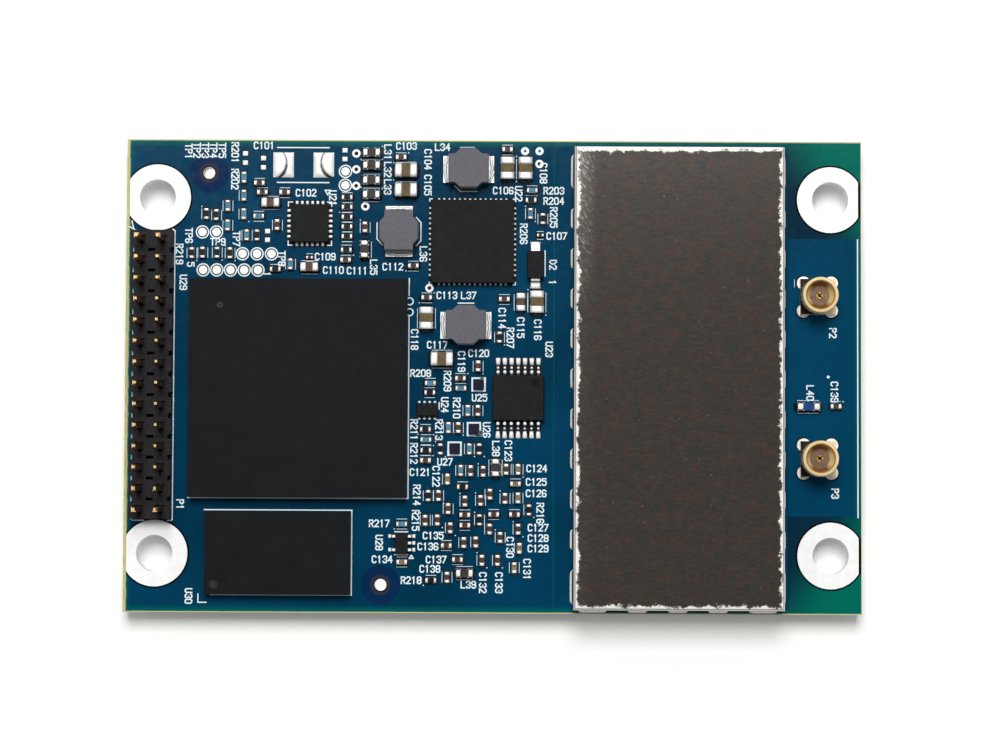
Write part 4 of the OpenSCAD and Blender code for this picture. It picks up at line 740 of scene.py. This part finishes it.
# a window is a stroke along its longer side
ends = np.stack([windows[:, :2] - (windows[:, 2:] - windows[:, 3:]).clip(0) / 2,
                 windows[:, :2] + (windows[:, 2:] - windows[:, 3:]).clip(0) / 2], 1)
upright = windows[:, 3] > windows[:, 2]
reach = np.stack([np.zeros(len(windows)), (windows[:, 3] - windows[:, 2]).clip(0) / 2], 1)
ends[upright] = np.stack([windows[:, :2] - reach, windows[:, :2] + reach], 1)[upright]
slabPiece("mask_windows_painted_shade", *strokeSlabs(ends, windows[:, 2:].min(1), windowSpec["low"], windowSpec["high"],
                                       windowSpec["layer"]), laminateWithPaintedShade, "solder_mask")

# the same round the lobes of solder at the jacks' legs, round the test pads and in the via rings;
# a lobe's inner edge is a share of its radius, the other values are mm
ringGaps = {"lobe": (0.4, 0.14), "pad": (0.4, 0.54), "via": (0.005, 0.185), "padSide": 0.81, "lobeSide": 2}
lobeLow, lobeHigh = solidBoxes("jack_solder")
lobes = (lobeHigh[:, 2] > boardTop) & ((lobeHigh - lobeLow)[:, :2].max(1) < ringGaps["lobeSide"])
lobeRadius = (lobeHigh - lobeLow)[lobes, 0] / 2
padLow, padHigh = solidBoxes("test_pads")
padSpots, wide = ((padLow + padHigh) / 2)[:, :2], (padHigh - padLow)[:, 0] > ringGaps["padSide"]
moatSpots = np.concatenate([((lobeLow + lobeHigh) / 2)[lobes, :2], padSpots])
padInner, padOuter = (np.where(wide, *gap) for gap in zip(ringGaps["pad"], ringGaps["via"]))
moatInner = np.concatenate([lobeRadius * ringGaps["lobe"][0], padInner])
moatOuter = np.concatenate([lobeRadius + ringGaps["lobe"][1], padOuter])
slabPiece("mask_rings", *ringSlabs(moatSpots, moatInner, moatOuter, windowSpec["low"], windowSpec["high"]),
          laminateWithPaintedShade, "solder_mask", wrap=True)


# floors of the moulded dimples: polished by the ejector pin, so they differ a little from the top round them
# of each mould: the material's name, the dimple's place and radius, and what differs from the mould's own look
dimpleSpec = {"driver_chip_mould": ("polishedMould", (4.1, -0.67), 0.43,
                                    {"colours": ("#060708", "#080a0b", "#0b0d0e")}),
              "processor_mould": ("paleMould", (-26.3, 6.7), 0.33,
                                  {"colours": ("#26292b", "#303335", "#3a3d3f"), "patch": 0.3}),
              "memory_mould": ("warmMould", (-26.72, -20.15), 0.41,
                               {"colours": ("#2b2720", "#332e26", "#39342a"), "patch": 0.3})}
dimpleSizes = {"depth": 0.06, "hub": 0.005, "sink": 0.003, "lift": 0.004}
for k, (node, (name, spot, radius, look)) in enumerate(dimpleSpec.items()):
    bottom = boxOf(node)[1][2] - dimpleSizes["depth"]
    disc = ringSlabs(np.array([spot]), [dimpleSizes["hub"]], [radius], bottom - dimpleSizes["sink"],
                     bottom + dimpleSizes["lift"])
    slabPiece(f"dimple_floor_{k + 1}", *disc, finish(name, dict(mouldSpec, **look))["material"], "chip_mould",
              wrap=True)


# printed marks
# screen printed epoxy ink: white, matte, slightly thin at its edges
inkSpec = {"colours": ("#e9f8fc", "#effcff", "#f5ffff"), "patch": 0.5, "grain": 0.06, "rough": (0.55, 0.7),
           "relief": 0.003, "metallic": 0.0, "ior": 1.5}
ink = finish("screenPrintInk", inkSpec)["material"]
printSpec = {"height": 0.74, "letterWidth": 0.35, "pitch": 0.515, "stroke": 0.118, "line": 0.11, "tick": 0.05,
             "dot": 0.1, "corner": 0.2, "frame": 0.16, "low": footLevel, "high": boardTop + 0.02,
             "layer": 0.003, "frameHalf": 0.61, "cornerArm": 0.35}

# letters on a grid 4 wide and 6 high: points as two digits, a slash lifts the pen
glyphs = {"0": "10 30 41 45 36 16 05 01 10", "1": "15 26 20", "2": "05 16 36 45 44 00 40",
          "3": "05 16 36 45 44 33 42 41 30 10 01/23 33", "4": "30 36 02 42", "5": "46 06 04 34 43 41 30 10 01",
          "6": "45 36 16 05 01 10 30 41 42 33 03", "7": "06 46 10",
          "8": "13 04 05 16 36 45 44 33 13 02 01 10 30 41 42 33", "9": "01 10 30 41 45 36 16 05 04 13 43",
          "C": "45 36 16 05 01 10 30 41", "D": "00 06 26 44 42 20 00", "L": "06 00 40",
          "P": "00 06 36 45 44 33 03", "R": "00 06 36 45 44 33 03/23 40", "T": "06 46/26 20",
          "U": "06 01 10 30 41 46"}

# plain designators: first number of each kind, then places (x, y, 1 where it reads downwards)
labels = {
    "C": (101, ((-22.3, 22.3, 0), (-18.2, 17.7, 0), (-8.5, 22.3, 0), (-6.4, 21.0, 1), (-6.4, 18.5, 1),
                (0.9, 18.0, 0), (6.1, 13.6, 0), (4.8, 19.7, 1), (-16.3, 11.5, 0), (-15.5, 10.2, 0),
                (-13.2, 10.15, 0), (-9.75, 10.55, 0), (-4.5, 7.8, 0), (0.85, 5.6, 1), (2.65, 4.7, 1),
                (4.3, 4.5, 1), (-5.4, 3.0, 0), (-7.6, 3.5, 1), (-3.05, 1.4, 1), (-1.4, 2.2, 0),
                (-7.0, -9.3, 0), (-5.45, -9.7, 1), (1.5, -7.2, 1), (4.25, -8.9, 0), (4.2, -10.2, 0),
                (4.2, -11.3, 0), (4.4, -14.6, 0), (4.4, -15.6, 0), (4.4, -16.6, 0), (1.7, -16.5, 1),
                (3.35, -18.6, 1), (-0.9, -19.9, 1), (0.65, -19.9, 1), (-10.6, -17.7, 0), (-5.7, -15.4, 0),
                (-6.2, -16.45, 0), (-5.4, -17.7, 0), (-6.0, -18.6, 0), (32.95, -1.4, 1))),
    "R": (201, ((-25.1, 21.6, 1), (-25.1, 19.0, 1), (5.8, 18.0, 0), (5.8, 17.0, 0), (5.8, 15.4, 1),
                (2.9, 13.8, 1), (1.65, 3.7, 1), (-7.0, 0.25, 0), (-4.4, -0.5, 1), (-3.5, -3.1, 1),
                (-7.6, -5.2, 1), (-7.6, -7.5, 1), (-5.2, -5.2, 1), (-7.3, -11.5, 1), (-7.4, -13.95, 1),
                (4.6, -13.2, 1), (-10.9, -14.25, 0), (-7.8, -19.7, 0), (-30.4, 11.7, 1))),
    "L": (31, ((-10.3, 21.7, 1), (-10.3, 20.0, 1), (-10.3, 18.3, 1), (-5.0, 22.2, 0), (-11.6, 10.5, 1),
               (-6.8, 11.8, 1), (-2.4, 7.8, 0), (0.3, -7.0, 1), (-2.3, -20.1, 0), (30.6, -1.5, 1))),
    "U": (21, ((-15.6, 17.2, 1), (2.4, 17.7, 1), (5.4, 2.6, 1), (-4.65, -2.8, 1), (-1.3, -2.1, 0),
               (-0.6, -5.2, 1), (-4.6, -8.3, 0), (-10.9, -16.1, 1), (-30.0, 8.95, 1), (-29.2, -21.3, 1))),
    "D": (2, ((5.75, 10.8, 1),)),
    "P": (1, ((-30.1, -12.5, 1), (32.8, 4.3, 1), (33.0, -11.2, 1))),
    "TP": (1, ((-29.6, 21.7, 1), (-28.8, 21.8, 1), (-28.0, 21.8, 1), (-27.2, 21.8, 1), (-26.35, 21.8, 1),
               (-29.5, 13.5, 1), (-24.9, 13.2, 1), (-20.5, 11.3, 1), (-26.7, 12.9, 0)))}


def letterStrokes(text, x, y, turned):
    # each glyph is stretched to the letter size and moved along the line, then the line is turned
    bars = []
    for k, letter in enumerate(text):
        for run in glyphs[letter].split("/"):
            dots = np.array([(int(p[0]), int(p[1])) for p in run.split()], float)
            spot = dots - (2, 3)
            spot *= (printSpec["letterWidth"] / 4, (printSpec["height"] - printSpec["stroke"]) / 6)
            spot[:, 0] += (k - (len(text) - 1) / 2) * printSpec["pitch"]
            spot = np.stack([spot[:, 1], -spot[:, 0]], 1) if turned else spot
            bars.append(np.stack([spot[:-1], spot[1:]], 1) + (x, y))
    return np.concatenate(bars)


pinNumbers = (("5", -29.3, 10.7, 1), ("1", -21.9, 9.8, 1), ("1", 5.7, 9.1, 1))
letters = np.concatenate([letterStrokes(f"{kind}{first + k}", *spot)
                          for kind, (first, spots) in labels.items() for k, spot in enumerate(spots)]
                         + [letterStrokes(*mark) for mark in pinNumbers])

# outlines round the bigger pieces, as x1, y1, x2, y2 in mm
outlines = np.array([
    (-30.85, 13.95, -30.85, -13.95), (-31.05, 14.1, -30.85, 13.95), (-34.84, 13.6, -34.84, -13.9),
    (-34.84, -13.9, -34.7, -14.05), (-34.7, -14.05, -33.6, -14.05), (-31.3, -14.05, -30.95, -14.05),
    (-30.95, -14.05, -30.85, -13.95),
    (-8.15, 9.4, -8.15, 7.75), (-8.15, 5.7, -8.15, -11.85), (-29.35, -11.85, -8.15, -11.85),
    (-27.75, -13.0, -13.55, -13.0), (-13.55, -13.0, -13.55, -21.15), (-27.1, -21.15, -13.55, -21.15),
    (-28.3, -21.1, -28.3, -21.9), (-28.3, -21.9, -27.5, -21.9),
    (-9.4, -15.05, -8.15, -15.05), (-9.4, -17.25, -8.15, -17.25), (-7.8, -17.3, -7.6, -17.6),
    (-7.6, -17.6, -8.0, -17.6), (-8.0, -17.6, -7.8, -17.3), (-5.2, -2.6, -5.2, -3.2),
    (-3.25, 17.9, -1.65, 17.9), (-3.25, 17.9, -3.8, 18.45), (-3.4, 7.05, -1.9, 7.05),
    (-7.05, 14.85, -7.05, 13.1), (-7.05, 14.85, -7.5, 15.35), (-7.05, 13.1, -7.5, 12.6),
    (-11.3, 14.8, -11.3, 13.25), (-11.3, 13.25, -10.75, 12.65),
    (4.98, 9.7, 4.98, 12.15), (35.2, 13.35, 35.2, -13.5),
    (-35.04, 14.89, -34.88, 14.2), (-35.26, 14.34, -34.9, 14.14), (-34.9, 14.14, -34.7, 14.04),
    (-16.35, 17.95, -15.85, 17.95), (-15.85, 17.95, -16.1, 17.5), (-16.1, 17.5, -16.35, 17.95),
    (-21.0, 22.1, -16.0, 22.1), (-21.0, 18.7, -16.0, 18.7)]).reshape(-1, 2, 2)
fineLines = np.array([(-14.65, y, -13.75, y) for y in (16.75, 15.8, 14.85, 13.9, 12.95)]
                     + [(29.1, 9.45, 29.1, 8.75), (-3.3, 22.2, -1.9, 22.2)]).reshape(-1, 2, 2)

# brackets at the corners of the leadless chips and frames round the tiny ones
brackets = []
for node, gap, arm in (("interface_chip_mould", 0.3, 0.4), ("power_chip_mould", 0.16, 0.22)):
    low, high = boxOf(node)
    for sx in (-1, 1):
        for sy in (-1, 1):
            x = (high[0] if sx > 0 else low[0]) + sx * gap
            y = (high[1] if sy > 0 else low[1]) + sy * gap
            brackets += [(x, y, x - sx * arm, y), (x, y, x, y - sy * arm)]
switchLow, switchHigh = solidBoxes("switch_chips")
switchSpots = ((switchLow + switchHigh) / 2)[:, :2]
switchSpots = switchSpots[np.argsort(-switchSpots[:, 1])]
frames, pinCorners = [], []
half, arm = printSpec["frameHalf"], printSpec["cornerArm"]
for (x, y), (sx, sy) in zip(switchSpots, ((1, 1), (1, -1), (-1, -1))):
    left, right, low, high = x - half, x + half, y - half, y + half
    frames += [(left, low, right, low), (right, low, right, high),
               (right, high, left, high), (left, high, left, low)]
    x, y = x + sx * half, y + sy * half
    pinCorners += [(x, y, x - sx * arm, y), (x, y, x, y - sy * arm)]
brackets, frames, pinCorners = (np.array(bars).reshape(-1, 2, 2) for bars in (brackets, frames, pinCorners))

# short lines beside the chip parts and dots at their corners, left out where another part lies there
tickSpec = {"clear": 0.06, "gap": 0.22, "share": {-1: 0.6, 1: 0.95}, "half": 0.46, "dotGap": 0.2, "dotShare": 0.25}
clearLow, clearHigh = chips["low"][:, :2] - tickSpec["clear"], chips["high"][:, :2] + tickSpec["clear"]


def isFree(spot):
    # true where no chip part covers the spot
    return ~np.any(np.all((spot[:, None] > clearLow) & (spot[:, None] < clearHigh), 2), 1)


across = np.stack([-chips["along"][:, 1], chips["along"][:, 0]], 1)
ticks, dots = [], []
for side in (-1, 1):
    spot = chips["middle"] + side * across * (chips["width"] / 2 + tickSpec["gap"])[:, None]
    free = isFree(spot) & (draw.random(len(spot)) < tickSpec["share"][side])
    half = chips["along"] * chips["length"][:, None] * tickSpec["half"]
    ticks.append(np.stack([spot - half, spot + half], 1)[free])
    corner = spot + side * chips["along"] * (chips["length"] / 2 + tickSpec["dotGap"])[:, None]
    free = isFree(corner) & (draw.random(len(spot)) < tickSpec["dotShare"])
    dots.append(np.stack([corner, corner], 1)[free])
ticks, dots = np.concatenate(ticks), np.concatenate(dots)
specks = np.array([(30.4, -2.3), (30.4, -3.45)])
dots = np.concatenate([dots, np.stack([specks, specks], 1)])

groups = ((letters, "stroke"), (outlines, "line"), (fineLines, "tick"), (brackets, "line"), (frames, "frame"),
          (pinCorners, "corner"), (ticks, "tick"), (dots, "dot"))
strokes = np.concatenate([bars for bars, key in groups])
widths = np.concatenate([np.full(len(bars), printSpec[key]) for bars, key in groups])
bars = strokeSlabs(strokes, widths, printSpec["low"], printSpec["high"], printSpec["layer"])
slabPiece("printed_lines", *bars, ink, "white_ceramic")

# rings round the test pads and at the processor corner, and filled dots; inner and outer edge of each
ringSizes = {"pad": (0.53, 0.65), "corner": (0.28, 0.4), "filled": ((0.12, 0.4), (0.12, 0.4), (0.02, 0.14))}
ringSpots = padSpots[wide]
cornerRings = np.array([(-8.1, 7.2), (-8.1, 6.15)])
filled = np.array([(3.0, 21.85), (4.4, 21.85), (32.35, 0.05)])
spots = np.concatenate([ringSpots, cornerRings, filled])
edges = np.array([ringSizes["pad"]] * len(ringSpots) + [ringSizes["corner"]] * len(cornerRings)
                 + list(ringSizes["filled"]))
slabPiece("printed_rings", *ringSlabs(spots, edges[:, 0], edges[:, 1], printSpec["low"], printSpec["high"]), ink,
          "white_ceramic", wrap=True)
print("marks printed:", len(strokes), "strokes")


# floor, light and camera
stageSpec = {"floor": "#fdfdfd", "floorReach": 3.0, "floorGlow": 0.08, "holePaintedGlow": 0.9, "holeReach": (1.4, 1.0),
             "horizon": 0.55, "zenith": "#606060", "keyPower": 12.0, "keyPlace": (-0.03, 0.5, 1.1),
             "keySize": 0.55}
floorMesh = bpy.data.meshes.new("table")
reach = stageSpec["floorReach"]
floorMesh.from_pydata([(-reach, -reach, 0), (reach, -reach, 0), (reach, reach, 0), (-reach, reach, 0)], [],
                      [(0, 1, 2, 3)])
floor = bpy.data.objects.new("table", floorMesh)
bpy.context.scene.collection.objects.link(floor)
# white painted board: even and matte, with a faint glow for the eye, metal and glass
tableMaterial = bpy.data.materials.new("whitePaintedBoard")
_, add = emptyTree(tableMaterial)
paintShade = add("BsdfDiffuse", {"Color": toLinear(stageSpec["floor"])})
rays = add("LightPath").node.outputs
seen = add("Math", {"operation": "ADD"}, {0: rays["Is Camera Ray"], 1: rays["Is Glossy Ray"]})
seen = add("Math", {"operation": "ADD"}, {0: seen, 1: rays["Is Transmission Ray"]})
# painted light: the floor glows brighter under the tooling holes, which the lamp doesn't reach
nearest = toNearest(add, add("TexCoord", out="Object"), [(x * mm, y * mm) for x, y in boardSpec["toolingHoles"]])
level = add("MapRange", {"span": (*(end * mm for end in stageSpec["holeReach"]), stageSpec["floorGlow"],
                                  stageSpec["holePaintedGlow"])}, {0: nearest})
seen = add("Math", {"operation": "MULTIPLY"}, {0: seen, 1: level})
glow = add("Emission", {"Color": (1, 1, 1, 1)}, {"Strength": seen})
both = add("AddShader", links={0: paintShade, 1: glow})
add("OutputMaterial", links={"Surface": both})
floorMesh.materials.append(tableMaterial)

# a white room that is open and dark overhead, so that level metal looks dark and bends look white
world = bpy.data.worlds.new("whiteRoom")
bpy.context.scene.world = world
_, add = emptyTree(world)
height = add("SeparateXYZ", links={0: add("TexCoord", out="Generated")}, out=2)
sky = add("ValToRGB", {"stops": ((0.0, "#ffffff"), (0.45, "#ffffff"), (0.75, "#a0a0a0"),
                                 (0.92, stageSpec["zenith"]))}, {0: height})
background = add("Background", {"Strength": stageSpec["horizon"]}, {"Color": sky})
add("OutputWorld", links={"Surface": background})

keyData = bpy.data.lights.new("softKey", "AREA")
keyData.energy = stageSpec["keyPower"]
keyData.size = stageSpec["keySize"]
key = bpy.data.objects.new("softKey", keyData)
key.location = stageSpec["keyPlace"]
key.rotation_euler = (-Vector(stageSpec["keyPlace"])).to_track_quat("-Z", "Y").to_euler()
bpy.context.scene.collection.objects.link(key)

cameraSpec = {"place": (1.0016, -13.566, 273.468), "turn": (-2.8923, -0.0586, -0.2532), "focalPx": 2806.72,
              "imageWidth": 1000, "sensor": 36.0}
cameraData = bpy.data.cameras.new("camera")
cameraData.sensor_fit = "HORIZONTAL"
cameraData.sensor_width = cameraSpec["sensor"]
cameraData.lens = cameraSpec["focalPx"] * cameraSpec["sensor"] / cameraSpec["imageWidth"]
cameraData.clip_start = 0.01
camera = bpy.data.objects.new("camera", cameraData)
bpy.context.scene.collection.objects.link(camera)
tilt = Matrix.Identity(3)
for angle, axis in zip(cameraSpec["turn"], "XYZ"):
    tilt = tilt @ Matrix.Rotation(math.radians(angle), 3, axis)
camera.matrix_world = Matrix.Translation(Vector(cameraSpec["place"]) * mm) @ tilt.transposed().to_4x4()
bpy.context.scene.camera = camera
bpy.context.scene.view_settings.view_transform = "Standard"
print("stage set")
